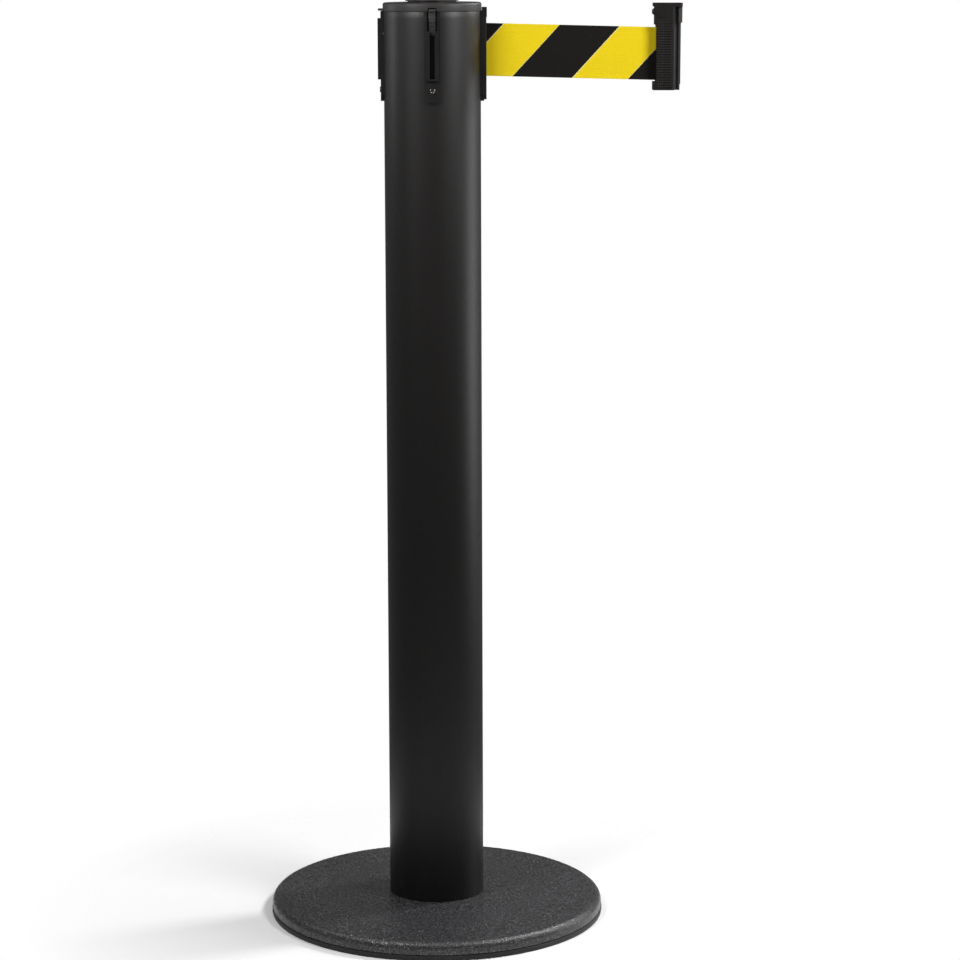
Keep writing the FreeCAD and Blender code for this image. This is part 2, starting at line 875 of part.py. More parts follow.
def make_outlet():
    body = fuse(
        "outlet_body",
        strap("outlet_strap", "outlet_strap_half", "outlet_low", "strap_top"),
        slab(
            "outlet_block",
            ("outlet_back", "outlet_face"),
            "outlet_half",
            ("outlet_body_low", "outlet_top"),
        ),
        slab(
            "outlet_bulge",
            ("outlet_back", "outlet_bulge_face"),
            "outlet_half",
            ("outlet_bulge_low", "outlet_top"),
        ),
        slab(
            "outlet_nozzle",
            ("nozzle_inner", "outlet_back + 1"),
            "nozzle_half",
            ("nozzle_low", "nozzle_top"),
        ),
    )
    slot = slab(
        "outlet_slot",
        ("nozzle_inner - 1", "outlet_bulge_face + 1"),
        "outlet_slot_half",
        ("outlet_slot_low", "outlet_slot_top"),
    )
    hole = rod_x(
        "outlet_screw_hole",
        "screw_radius",
        "tube_radius - 1",
        "rail_face",
        0,
        "outlet_screw_level",
    )
    seat = rod_x(
        "outlet_screw_room",
        "screw_head_radius + 0.3",
        "outlet_screw_seat",
        "outlet_face + 1",
        0,
        "outlet_screw_level",
    )
    rough = cut("outlet_cut", body, slot, hole, seat)

    def side_edge(edge):
        bounds = edge.BoundBox
        tall = bounds.ZLength > 40
        outside = abs(bounds.XMin - SIZES["outlet_face"]) < 0.01 and bounds.XLength < 0.01
        return tall and outside and abs(bounds.YMin) > SIZES["outlet_half"] - 0.01

    name_node("belt_outlet", rounded("belt_outlet", rough, "ring_round", side_edge))
    screw = panel_screw(
        "outlet_screw_solid", "outlet_screw_level", "outlet_screw_head_face", "outlet_screw_seat"
    )
    name_node("outlet_screw", screw)


# ---------------------------------------------------------------- cassette


def around(place, angle):
    """Formulas for a point on a circle about the post's axis."""
    return f"{place} * cos({angle} * 1deg)", f"{place} * sin({angle} * 1deg)"


def make_cassette():
    floor = cylinder("cassette_floor_disc", "cassette_radius", "cassette_low", "cassette_deck")
    hollow_radius = "cassette_radius - cassette_skirt_wall"
    tools = [
        cylinder("cassette_hollow", hollow_radius, "cassette_low - 1", "cassette_floor"),
        cylinder("cassette_shaft_hole", "shaft_radius", "cassette_floor - 1", "cassette_deck + 1"),
    ]
    reach = ("screw_tip - 1", "tube_radius", 0)
    for side, angle in RECEIVER_ANGLES.items():
        hole = rod_x(f"{side}_cassette_hole", "screw_radius", *reach, "receiver_screw_level")
        tools.append(turned(group(f"{side}_cassette_hole_group", hole), angle))
    tools.append(rod_x("outlet_cassette_hole", "screw_radius", *reach, "outlet_screw_level"))
    plate = cylinder("top_plate_disc", "plate_radius", "top_plate_low", "top_plate_top")
    plate_tools = [cylinder("top_plate_hole", "shaft_radius", "top_plate_low - 1", "top_plate_top + 1")]
    for sign in ("", "-"):
        y = f"{sign}(roller_radius + belt_thickness / 2 + belt_gap)"
        word = "right" if sign else "left"
        reach = ("roller_pin_radius", "cassette_floor - 1", "top_plate_top + 1", "roller_x", y)
        tools.append(cylinder(f"{word}_deck_hole", *reach))
        plate_tools.append(cylinder(f"{word}_plate_hole", *reach))
    pillars = []
    screws = []
    for angle in PILLAR_ANGLES:
        x, y = around("pillar_place", angle)
        height = ("cassette_deck", "top_plate_low")
        pillar = cylinder(f"pillar_{angle}_solid", "pillar_radius", *height, x, y)
        reach = ("pillar_screw_radius", "cassette_floor - 1", "top_plate_top + 1", x, y)
        pillars.append(cut(f"pillar_{angle}", pillar, cylinder(f"pillar_{angle}_bore", *reach)))
        tools.append(cylinder(f"pillar_{angle}_deck_hole", *reach))
        plate_tools.append(cylinder(f"pillar_{angle}_plate_hole", *reach))
        upper_shank = cylinder(
            f"upper_shank_{angle}",
            "pillar_screw_radius",
            "top_plate_top - pillar_screw_length",
            "top_plate_top",
            x,
            y,
        )
        upper_head = cylinder(
            f"upper_head_{angle}",
            "pillar_screw_head_radius",
            "top_plate_top",
            "top_plate_top + pillar_screw_head_height",
            x,
            y,
        )
        lower = cylinder(
            f"lower_screw_{angle}",
            "pillar_screw_radius",
            "cassette_floor",
            "cassette_floor + pillar_lower_screw_length",
            x,
            y,
        )
        screws += [fuse(f"upper_screw_{angle}", upper_shank, upper_head), lower]
    name_node("cassette_base", cut("cassette_base", floor, *tools))
    name_node("cassette_top_plate", cut("cassette_top_plate", plate, *plate_tools))
    name_node("cassette_pillars", group("cassette_pillars", *pillars))
    name_node("cassette_screws", group("cassette_screws", *screws))

    shaft = cylinder("shaft_solid", "shaft_radius", "shaft_low", "shaft_top")
    bore = cylinder("shaft_thread", "cap_bolt_radius", "cap_bolt_tip - 2", "shaft_top + 1")
    groove = tube("shaft_groove", "shaft_radius + 1", "clip_groove_radius", "clip_low", "clip_top")
    name_node("spool_shaft", cut("spool_shaft", shaft, bore, groove))
    clip_ring = tube("clip_ring", "clip_radius", "clip_groove_radius", "clip_low", "clip_top")
    clip_gap = slab(
        "clip_gap",
        ("0", "clip_radius + 1"),
        "clip_gap_half",
        ("clip_low - 1", "clip_top + 1"),
    )
    name_node("shaft_clip", cut("shaft_clip", clip_ring, clip_gap))


# ---------------------------------------------------------------- spool


def make_spool():
    drum = revolved(
        "spool_drum",
        [
            ("core_inner", "lower_flange_low + flange_thickness"),
            ("core_outer", "lower_flange_low + flange_thickness"),
            ("core_outer", "upper_flange_low"),
            ("flange_radius", "upper_flange_low"),
            ("flange_radius", "upper_flange_low + flange_thickness"),
            ("core_inner", "upper_flange_low + flange_thickness"),
            ("core_inner", "web_top"),
            ("hub_radius", "web_top"),
            ("hub_radius", "upper_flange_low + flange_thickness"),
            ("bush_radius", "upper_flange_low + flange_thickness"),
            ("bush_radius", "web_low"),
            ("core_inner", "web_low"),
        ],
    )
    name_node("spool_drum", drum)
    cover = revolved(
        "spool_cover",
        [
            ("bush_radius", "lower_flange_low"),
            ("flange_radius", "lower_flange_low"),
            ("flange_radius", "lower_flange_low + flange_thickness"),
            ("core_inner", "lower_flange_low + flange_thickness"),
            ("core_inner", "lower_flange_low + flange_thickness + cover_spigot"),
            ("bush_radius", "lower_flange_low + flange_thickness + cover_spigot"),
        ],
    )
    name_node("spool_cover", cover)
    bore = "shaft_radius + bush_clearance"
    upper_top = "upper_flange_low + flange_thickness"
    upper = tube(
        "upper_bush",
        "bush_radius",
        bore,
        f"{upper_top} - bush_length",
        f"{upper_top} + bush_collar",
    )
    lower = tube(
        "lower_bush",
        "bush_radius",
        bore,
        "lower_flange_low - bush_collar",
        "lower_flange_low + flange_thickness + cover_spigot",
    )
    name_node("spool_bushes", group("spool_bushes", upper, lower))
    roll = tube(
        "belt_roll",
        "roll_radius",
        "core_outer",
        "belt_middle - belt_width / 2",
        "belt_middle + belt_width / 2",
    )
    name_node("belt_roll", roll)


def make_power_spring():
    """A flat spiral of half turns whose radius grows by the same step each time."""
    count = SIZES["spring_half_turns"]
    thickness = SIZES["spring_thickness"]
    step = (SIZES["spring_outer"] - SIZES["spring_inner"] - thickness) / count
    low = SIZES["spring_low"]

    def side(offset):
        edges = []
        start = SIZES["spring_inner"] + offset
        sign = 1
        for _ in range(count):
            end = start + step
            middle = sign * (start - end) / 2
            reach = (start + end) / 2
            first = FreeCAD.Vector(sign * start, 0, low)
            crest = FreeCAD.Vector(middle, sign * reach, low)
            last = FreeCAD.Vector(-sign * end, 0, low)
            edges.append(Part.Arc(first, crest, last).toShape())
            start = end
            sign = -sign
        return edges

    inner = side(0)
    outer = side(thickness)
    caps = [
        Part.makeLine(inner[0].firstVertex().Point, outer[0].firstVertex().Point),
        Part.makeLine(inner[-1].lastVertex().Point, outer[-1].lastVertex().Point),
    ]
    strip = Part.Face(Part.Wire(Part.__sortEdges__(inner + outer + caps)))
    height = FreeCAD.Vector(0, 0, SIZES["spring_top"] - low)
    name_node("power_spring", feature("power_spring", strip.extrude(height)))


# ---------------------------------------------------------------- guide rollers


def make_rollers():
    pins = []
    for word, sign in (("left", ""), ("right", "-")):
        y = f"{sign}(roller_radius + belt_thickness / 2 + belt_gap)"
        roller = tube(
            f"{word}_guide_roller",
            "roller_radius",
            "roller_pin_radius + roller_pin_clearance",
            "roller_low",
            "roller_top",
            "roller_x",
            y,
        )
        name_node(f"{word}_guide_roller", roller)
        pin = cylinder(
            f"{word}_roller_pin",
            "roller_pin_radius",
            "cassette_floor",
            "top_plate_top",
            "roller_x",
            y,
        )
        pins.append(pin)
    name_node("roller_pins", group("roller_pins", *pins))


# ---------------------------------------------------------------- belt


def belt_inside():
    """The strip from the wound roll, round the left roller and out of the post."""
    half = SIZES["belt_thickness"] / 2
    gap = SIZES["belt_gap"]
    roll = SIZES["roll_radius"] + half + gap
    wrap = SIZES["roller_radius"] + half + gap
    centre = FreeCAD.Vector(SIZES["roller_x"], wrap, 0)
    heading = math.atan2(centre.y, centre.x) - math.asin((roll + wrap) / centre.Length)
    normal = FreeCAD.Vector(-math.sin(heading), math.cos(heading), 0)
    middle_turn = heading / 2
    down = FreeCAD.Vector(math.sin(middle_turn), -math.cos(middle_turn), 0)
    bottom = SIZES["belt_middle"] - SIZES["belt_width"] / 2
    lift = FreeCAD.Vector(0, 0, bottom)

    def line_points(offset):
        start = normal * (roll + offset) + lift
        on_roller = centre - normal * (wrap - offset) + lift
        crest = centre + down * (wrap - offset) + lift
        under = FreeCAD.Vector(centre.x, offset, bottom)
        out = FreeCAD.Vector(SIZES["droop_pivot_x"] + half, offset, bottom)
        return start, on_roller, crest, under, out

    def edges(points):
        start, on_roller, crest, under, out = points
        return [
            Part.makeLine(start, on_roller),
            Part.Arc(on_roller, crest, under).toShape(),
            Part.makeLine(under, out),
        ]

    upper = line_points(half)
    lower = line_points(-half)
    ends = [Part.makeLine(upper[0], lower[0]), Part.makeLine(upper[-1], lower[-1])]
    strip = Part.Face(Part.Wire(Part.__sortEdges__(edges(upper) + edges(lower) + ends)))
    return strip.extrude(FreeCAD.Vector(0, 0, SIZES["belt_width"]))


def make_belt():
    inside = feature("belt_inside", belt_inside())
    belt_z = ("belt_middle - belt_width / 2", "belt_middle + belt_width / 2")
    free = slab("belt_free", ("droop_pivot_x", "loop_x"), "belt_thickness / 2", belt_z)
    bore = "clamp_pin_radius + belt_gap"
    loop = cylinder("belt_loop", f"{bore} + belt_thickness", *belt_z, "loop_x", 0)
    pin_room = cylinder("belt_loop_bore", bore, "clamp_pin_low", "clamp_pin_top", "loop_x", 0)
    outside = fuse(
        "belt_outside",
        drooped(group("belt_free_group", free)),
        hung(group("belt_loop_group", loop)),
    )
    pierced = cut("belt_pierced", outside, hung(group("belt_loop_bore_group", pin_room)))
    name_node("belt_web", fuse("belt_web", inside, pierced))


# ---------------------------------------------------------------- belt end


def end_cavities(side):
    """Everything that is hollowed out of both shells, as one tool."""
    belt_z = ("belt_middle - belt_width / 2 - 0.4", "belt_middle + belt_width / 2 + 0.4")
    stop_room = "end_flange_low + 0.1"
    button_z = ("button_low - button_gap", "button_top + button_gap")
    button_level = "(button_low + button_top) / 2"
    pin_z = ("clamp_pin_low", "clamp_pin_top")
    return fuse(
        f"{side}_end_cavities",
        slab(f"{side}_end_slot", ("end_foot_left - 1", "loop_x"), "end_belt_slot_half", belt_z),
        cylinder(f"{side}_end_loop_room", "loop_room_radius", *belt_z, "loop_x", 0),
        cylinder(f"{side}_end_pin_hole", "clamp_pin_radius", *pin_z, "loop_x", 0),
        slab(
            f"{side}_end_root_room",
            ("end_rail_root", "end_rail_root_inner"),
            "end_rail_root_half",
            ("end_low - 1", stop_room),
        ),
        slab(
            f"{side}_end_stem_room",
            ("end_rail_root", "end_right + 1"),
            "end_rail_stem_half",
            ("end_low - 1", stop_room),
        ),
        slab(
            f"{side}_end_button_room",
            ("end_flange_left - 1", "button_room_back"),
            "button_half + button_gap",
            button_z,
        ),
        rod_x(
            f"{side}_end_spring_room",
            "button_spring_room_radius",
            "button_room_back - 1",
            "end_rail_root",
            0,
            button_level,
        ),
        slab(
            f"{side}_snap_bridge_room",
            ("snap_bridge_left - snap_gap", "snap_right + snap_gap"),
            "end_half",
            ("snap_top - snap_bridge_thickness - snap_gap", "snap_top + snap_gap"),
        ),
    )


def make_shell(side, sign):
    reverse = sign > 0
    body = upright_pad(
        f"{side}_shell_body",
        [
            ("end_foot_left", "end_low"),
            ("end_right", "end_low"),
            ("end_right", "end_flange_low"),
            ("end_flange_right", "end_flange_low"),
            ("end_flange_right", "end_top"),
            ("end_flange_left", "end_top"),
            ("end_flange_left", "end_flange_low"),
            ("end_head_left", "end_flange_low"),
            ("end_head_left", "end_head_low"),
            ("end_left", "end_head_low"),
            ("end_left", "end_foot_top"),
            ("end_foot_left", "end_foot_top"),
        ],
        "end_half",
        reverse,
    )

    def corner(edge):
        bounds = edge.BoundBox
        upright = bounds.ZLength > 3 and bounds.XLength < 0.01 and bounds.YLength < 0.01
        face = abs(abs(bounds.YMin) - SIZES["end_half"]) < 0.01
        return upright and face and bounds.XMin > SIZES["end_right"] - 0.01

    smooth = rounded(f"{side}_shell_rounded", body, "end_round", corner)
    tools = [end_cavities(side)]
    if sign < 0:
        screw_span = ("-end_screw_half", "0")
        window = ("-end_half - 1", "snap_depth - end_half")
    else:
        screw_span = ("0", "end_half + 1")
        window = ("end_half - snap_depth", "end_half + 1")
    for level in ("low", "top"):
        where = ("end_screw_x", f"end_screw_{level}_level")
        hole = rod_y(f"{side}_screw_hole_{level}", "end_screw_radius", *screw_span, *where)
        tools.append(hole)
        if sign > 0:
            seat = rod_y(
                f"{side}_screw_seat_{level}",
                "end_screw_head_radius",
                "end_screw_half - end_screw_head_depth",
                "end_half + 1",
                *where,
            )
            tools.append(seat)
    tools.append(
        box(
            f"{side}_snap_window",
            ("snap_left - snap_gap", "snap_right + snap_gap"),
            window,
            ("snap_low - snap_gap", "snap_top + snap_gap"),
        )
    )
    name_node(f"belt_end_{side}_shell", hung(cut(f"belt_end_{side}_shell", smooth, *tools)))


def make_end_rail():
    root = slab(
        "rail_root",
        ("end_rail_root", "end_rail_root_inner"),
        "end_rail_root_half - 0.05",
        ("end_low", "end_flange_low - 0.1"),
    )
    stem = slab(
        "rail_stem",
        ("end_rail_root", "end_rail_head_x + 1"),
        "end_rail_stem_half - 0.05",
        ("end_low", "end_flange_low - 0.1"),
    )
    head = slab(
        "rail_head",
        ("end_rail_head_x", "end_rail_head_face"),
        "end_rail_head_half",
        ("end_rail_low", "end_rail_top"),
    )
    tip = slab(
        "rail_tip",
        ("end_rail_head_x", "end_rail_tip_face"),
        "end_rail_head_half",
        ("end_low", "end_rail_low"),
    )
    stop = slab(
        "rail_stop",
        ("end_rail_head_x", "end_rail_stop_face"),
        "end_rail_stop_half",
        ("end_rail_top", "end_flange_low - 0.1"),
    )
    rail = fuse("rail_solid", root, stem, head, tip, stop)
    holes = []
    for level in ("low", "top"):
        where = ("end_screw_x", f"end_screw_{level}_level")
        span = ("-end_half", "end_half")
        holes.append(rod_y(f"rail_screw_hole_{level}", "end_screw_radius", *span, *where))
    name_node("belt_end_rail", hung(cut("belt_end_rail", rail, *holes)))


def make_end_fittings():
    pin = cylinder("belt_clamp_pin", "clamp_pin_radius", "clamp_pin_low", "clamp_pin_top", "loop_x", 0)
    name_node("belt_clamp_pin", hung(group("belt_clamp_pin_group", pin)))

    screws = []
    for level in ("low", "top"):
        where = ("end_screw_x", f"end_screw_{level}_level")
        seat = "end_screw_half - end_screw_head_depth"
        shank_span = ("-end_screw_half", seat)
        head_span = (seat, "end_screw_half")
        shank = rod_y(f"end_screw_shank_{level}", "end_screw_radius", *shank_span, *where)
        head = rod_y(f"end_screw_head_{level}", "end_screw_head_radius", *head_span, *where)
        screws.append(fuse(f"end_screw_{level}", shank, head))
    name_node("belt_end_screws", hung(group("belt_end_screws", *screws)))

    snap_x = ("snap_left", "snap_right")
    snap_z = ("snap_low", "snap_top")
    near = ("-(end_half + snap_proud)", "snap_depth - end_half")
    far = ("end_half - snap_depth", "end_half + snap_proud")
    bridge_z = ("snap_top - snap_bridge_thickness", "snap_top")
    snap = fuse(
        "snap_solid",
        box("snap_near_pad", snap_x, near, snap_z),
        box("snap_far_pad", snap_x, far, snap_z),
        slab("snap_bridge", ("snap_bridge_left", "snap_right"), "end_half", bridge_z),
    )
    name_node("shell_clip", hung(snap))

    block = slab(
        "button_block",
        ("button_shoulder", "button_back"),
        "button_half",
        ("button_low", "button_top"),
    )
    nose = slab(
        "button_nose",
        ("button_face", "button_shoulder + 1"),
        "button_half - 1",
        ("button_low + 1", "button_top - 1"),
    )
    middle = "(button_low + button_top) / 2"
    stem_span = ("button_back - 1", "button_stem_tip")
    stem = rod_x("button_stem", "button_stem_radius", *stem_span, 0, middle)
    name_node("lock_button", hung(fuse("lock_button", block, nose, stem)))


def make_button_spring():
    spring = coil("button_spring_coil", "button_spring")
    along = FreeCAD.Rotation(FreeCAD.Vector(0, 1, 0), 90)
    level = (SIZES["button_low"] + SIZES["button_top"]) / 2
    behind = SIZES["button_back"] + 2 * SIZES["button_spring_wire"]
    spring.Placement = FreeCAD.Placement(FreeCAD.Vector(behind, 0, level), along)
    name_node("button_spring", hung(group("button_spring", spring)))


# ---------------------------------------------------------------- build and write

make_base()
make_foot_fixing()
make_post_tube()
make_cap()
make_receivers()
make_outlet()
make_cassette()
make_spool()
make_power_spring()
make_rollers()
make_belt()
make_shell("front", -1)
make_shell("back", 1)
make_end_rail()
make_end_fittings()
make_button_spring()
doc.recompute()

faults = []
for item in doc.Objects:
    if "Invalid" in item.State or "Error" in item.State:
        faults.append(f"{item.Name}: {item.State}")
for node, item in nodes.items():
    if item.Shape.isNull() or not item.Shape.isValid() or not item.Shape.Solids:
        faults.append(f"{node}: bad shape")
if faults:
    raise RuntimeError("; ".join(faults))

os.makedirs("parts", exist_ok=True)
for node, item in nodes.items():
    item.Shape.exportStep(f"parts/{node}.step")
print(f"{len(nodes)} parts written")
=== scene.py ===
import json
import math

import bmesh
import bpy
from mathutils import Matrix, Vector


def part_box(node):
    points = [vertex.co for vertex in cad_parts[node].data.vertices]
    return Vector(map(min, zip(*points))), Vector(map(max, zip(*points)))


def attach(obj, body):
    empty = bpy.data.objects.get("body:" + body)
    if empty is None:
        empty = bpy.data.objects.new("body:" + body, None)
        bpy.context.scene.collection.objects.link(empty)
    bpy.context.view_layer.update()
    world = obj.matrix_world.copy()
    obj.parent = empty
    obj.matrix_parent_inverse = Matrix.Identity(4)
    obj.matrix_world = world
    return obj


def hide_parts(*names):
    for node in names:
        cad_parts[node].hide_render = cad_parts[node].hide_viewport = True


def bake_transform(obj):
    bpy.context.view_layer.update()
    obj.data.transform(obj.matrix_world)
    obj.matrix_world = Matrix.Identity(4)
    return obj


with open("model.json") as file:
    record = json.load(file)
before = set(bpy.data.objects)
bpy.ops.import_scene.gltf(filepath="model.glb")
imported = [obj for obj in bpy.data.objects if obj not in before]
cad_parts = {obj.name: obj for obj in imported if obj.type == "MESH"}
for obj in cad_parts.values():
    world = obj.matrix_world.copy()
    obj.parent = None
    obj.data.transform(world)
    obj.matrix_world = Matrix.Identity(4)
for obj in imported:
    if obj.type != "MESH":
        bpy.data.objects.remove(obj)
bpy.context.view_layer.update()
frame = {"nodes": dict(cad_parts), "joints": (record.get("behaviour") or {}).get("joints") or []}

MM = 0.001
WELD = 2e-6
AROUND = 256
SHARP = math.radians(32)
SIDES = {"front": -90, "left": 180, "back": 90}

joints = {joint["name"]: joint for joint in frame["joints"]}
receiver_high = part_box("back_receiver")[1]
roll_low, roll_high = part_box("belt_roll")
mouth = Vector((receiver_high.y, 0, (roll_low.z + roll_high.z) / 2))
droop = math.asin(-joints["belt_slide"]["axis"][2])
tilt = math.asin(-joints["lock_button_press"]["axis"][2])
DROOPED = Matrix.Translation(mouth) @ Matrix.Rotation(droop, 4, "Y") @ Matrix.Translation(-mouth)

# the belt end hangs nearly plumb from the belt's loop round the clamp pin
pin_low, pin_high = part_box("belt_clamp_pin")
pin_away = (pin_low + pin_high) / 2 - mouth
reach = (pin_away.x * math.cos(tilt) - pin_away.z * math.sin(tilt)) / math.cos(droop - tilt)
loop = mouth + Vector((reach, 0, 0))
HUNG = Matrix.Translation(DROOPED @ loop) @ Matrix.Rotation(tilt, 4, "Y") @ Matrix.Translation(-loop)


# ---------------------------------------------------------------- shapes


def piece(name, shape):
    """Turn a bmesh into an object of the scene, smooth but for its sharp edges."""
    mesh = bpy.data.meshes.new(name)
    shape.to_mesh(mesh)
    shape.free()
    mesh.shade_smooth()
    mesh.set_sharp_from_angle(angle=SHARP)
    made = bpy.data.objects.new(name, mesh)
    bpy.context.scene.collection.objects.link(made)
    return made


def soft_outline(corners, steps=5, share=0.49):
    """A closed outline whose (x, y, radius) corners are rounded with arcs.

    An arc takes at most the given share of the sides that meet in its corner.
    """
    points = []
    for number, (x, y, radius) in enumerate(corners):
        here = Vector((x, y))
        if radius == 0:
            points.append(here)
            continue
        before = Vector(corners[number - 1][:2]) - here
        after = Vector(corners[(number + 1) % len(corners)][:2]) - here
        half = before.angle(after) / 2
        reach = min(radius / math.tan(half), share * before.length, share * after.length)
        middle = here + (before.normalized() + after.normalized()).normalized() * reach / math.cos(half)
        start = here + before.normalized() * reach - middle
        end = here + after.normalized() * reach - middle
        size = start.length
        points += [middle + size * start.slerp(end, step / steps) for step in range(steps + 1)]
    return points


def lathe(name, outline, closed=True):
    """A solid turned about the post's axis from (radius, height) points."""
    shape = bmesh.new()
    ring = [shape.verts.new((radius, 0, height)) for radius, height in outline]
    ends = ring[1:] + ring[:1] if closed else ring[1:]
    edges = [shape.edges.new(pair) for pair in zip(ring, ends)]
    bmesh.ops.spin(
        shape, geom=ring + edges, axis=(0, 0, 1), cent=(0, 0, 0), angle=math.tau, steps=AROUND
    )
    bmesh.ops.remove_doubles(shape, verts=shape.verts, dist=WELD)
    bmesh.ops.recalc_face_normals(shape, faces=shape.faces)
    return piece(name, shape)


def block(name, low, high, radius=0.0):
    """A box with rounded edges."""
    shape = bmesh.new()
    bmesh.ops.create_cube(shape, size=1)
    low, high = Vector(low), Vector(high)
    middle, size = (low + high) / 2, high - low
    for vert in shape.verts:
        vert.co = middle + Vector(a * b for a, b in zip(vert.co, size))
    if radius:
        bmesh.ops.bevel(
            shape, geom=shape.edges[:], offset=radius, segments=2, profile=0.5, affect="EDGES"
        )
    return piece(name, shape)


def softened(node, width, steps=2):
    """A copy of a CAD piece whose edges are rounded."""
    shape = bmesh.new()
    shape.from_mesh(frame["nodes"][node].data)
    bmesh.ops.remove_doubles(shape, verts=shape.verts, dist=WELD)
    bmesh.ops.dissolve_limit(
        shape, angle_limit=math.radians(0.5), verts=shape.verts, edges=shape.edges, delimit=set()
    )
    shape.verts.index_update()
    places = [vert.co.copy() for vert in shape.verts]
    faces = [[vert.index for vert in face.verts] for face in shape.faces]
    shape.free()
    clean = bpy.data.meshes.new(node)
    clean.from_pydata(places, [], faces)
    shape = bmesh.new()
    shape.from_mesh(clean)
    bpy.data.meshes.remove(clean)
    made = piece(f"{node}_soft", shape)
    round_edges(made, width, steps)
    return made


def round_edges(made, width, steps=2):
    """Bevel a piece's sharp edges."""
    bevel = made.modifiers.new("soft_edges", "BEVEL")
    bevel.width = width
    bevel.segments = steps
    bevel.limit_method = "ANGLE"
    bevel.angle_limit = SHARP
    bevel.use_clamp_overlap = True


def carve(made, *cutters):
    """Cut closed pieces out of another and drop them."""
    for cutter in cutters:
        difference = made.modifiers.new("carve", "BOOLEAN")
        difference.object = cutter
        difference.operation = "DIFFERENCE"
        difference.solver = "EXACT"
    bpy.context.view_layer.update()
    graph = bpy.context.evaluated_depsgraph_get()
    mesh = bpy.data.meshes.new_from_object(made.evaluated_get(graph))
    made.modifiers.clear()
    made.data = mesh
    mesh.shade_smooth()
    mesh.set_sharp_from_angle(angle=SHARP)
    for cutter in cutters:
        bpy.data.objects.remove(cutter)
    return made


def dress(made, finish, body, slot, *nodes):
    """Give a piece its material, its body and the CAD nodes that it stands for."""
    made.data.materials.clear()
    made.data.materials.append(FINISHES[finish])
    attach(made, body)
    if nodes:
        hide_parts(*nodes)
    return made


# ---------------------------------------------------------------- materials


class Recipe:
    """A procedural material being put together."""

    def __init__(self, name, **inputs):
        self.material = bpy.data.materials.new(name)
        self.material.use_nodes = True
        self.tree = self.material.node_tree
        self.shader = self.tree.nodes["Principled BSDF"]
        for socket, value in inputs.items():
            self.shader.inputs[socket.replace("_", " ")].default_value = value
        self.place = self.add("TexCoord").outputs["Object"]

    def add(self, kind, inputs=None, **settings):
        """A node whose inputs take values or other nodes' sockets."""
        made = self.tree.nodes.new(f"ShaderNode{kind}")
        for name, value in settings.items():
            setattr(made, name, value)
        for name, value in (inputs or {}).items():
            if isinstance(value, bpy.types.NodeSocket):
                self.tree.links.new(value, made.inputs[name])
            else:
                made.inputs[name].default_value = value
        return made

    def noise(self, scale, detail=2.0, rough=0.5, place=None):
        where = place or self.place
        inputs = {"Vector": where, "Scale": scale, "Detail": detail, "Roughness": rough}
        return self.add("TexNoise", inputs).outputs["Fac"]

    def cells(self, scale):
        inputs = {"Vector": self.place, "Scale": scale}
        return self.add("TexVoronoi", inputs, feature="F1").outputs["Distance"]

    def stretched(self, x=1.0, y=1.0, z=1.0):
        """Object coordinates scaled along each axis."""
        return self.add("Mapping", {"Vector": self.place, "Scale": (x, y, z)}).outputs["Vector"]

    def between(self, value, low, high, out_low=0.0, out_high=1.0):
        """Map a value from one range to another, clamped."""
        inputs = {
            "Value": value,
            "From Min": low,
            "From Max": high,
            "To Min": out_low,
            "To Max": out_high,
        }
        return self.add("MapRange", inputs).outputs["Result"]

    def math(self, operation, *values):
        made = self.add("Math", operation=operation)
        for socket, value in zip(made.inputs, values):
            if isinstance(value, bpy.types.NodeSocket):
                self.tree.links.new(value, socket)
            else:
                socket.default_value = value
        return made.outputs["Value"]

    def mix(self, factor, first, second):
        made = self.add("Mix", data_type="RGBA")
        for number, value in ((0, factor), (6, first), (7, second)):
            if isinstance(value, bpy.types.NodeSocket):
                self.tree.links.new(value, made.inputs[number])
            else:
                made.inputs[number].default_value = value
        return made.outputs[2]

    def bump(self, height, distance, strength=1.0, under=None):
        inputs = {"Height": height, "Distance": distance, "Strength": strength}
        if under:
            inputs["Normal"] = under
        return self.add("Bump", inputs).outputs["Normal"]

    def set(self, **sockets):
        for name, socket in sockets.items():
            self.tree.links.new(socket, self.shader.inputs[name.replace("_", " ")])
        return self.material


def shade(red, green=None, blue=None):
    """A colour from linear values, grey if only one is given."""
    return (red, red if green is None else green, red if blue is None else blue, 1.0)


def base_coat():
    """Coarse, glittering textured powder coat on the cast base."""
    coat = Recipe("base_coat", Specular_IOR_Level=0.55)
    grain = coat.cells(620)
    fine = coat.noise(1500, 3)
    broad = coat.noise(9, 3)
    speckle = coat.between(coat.noise(430, 2, 0.7), 0.41, 0.59)
    fleck = coat.between(coat.noise(620, 2, 0.6), 0.62, 0.72)
    dark = coat.mix(broad, shade(0.004, 0.0037, 0.004), shade(0.007, 0.0065, 0.007))
    light = coat.mix(broad, shade(0.042, 0.040, 0.043), shade(0.056, 0.053, 0.057))
    body = coat.mix(speckle, dark, light)
    colour = coat.mix(fleck, body, shade(0.26, 0.25, 0.26))
    normal = coat.bump(grain, 0.0006, 0.45)
    normal = coat.bump(fine, 0.00025, 0.4, normal)
    rough = coat.between(speckle, 0.0, 1.0, 0.46, 0.27)
    return coat.set(Base_Color=colour, Roughness=rough, Normal=normal)


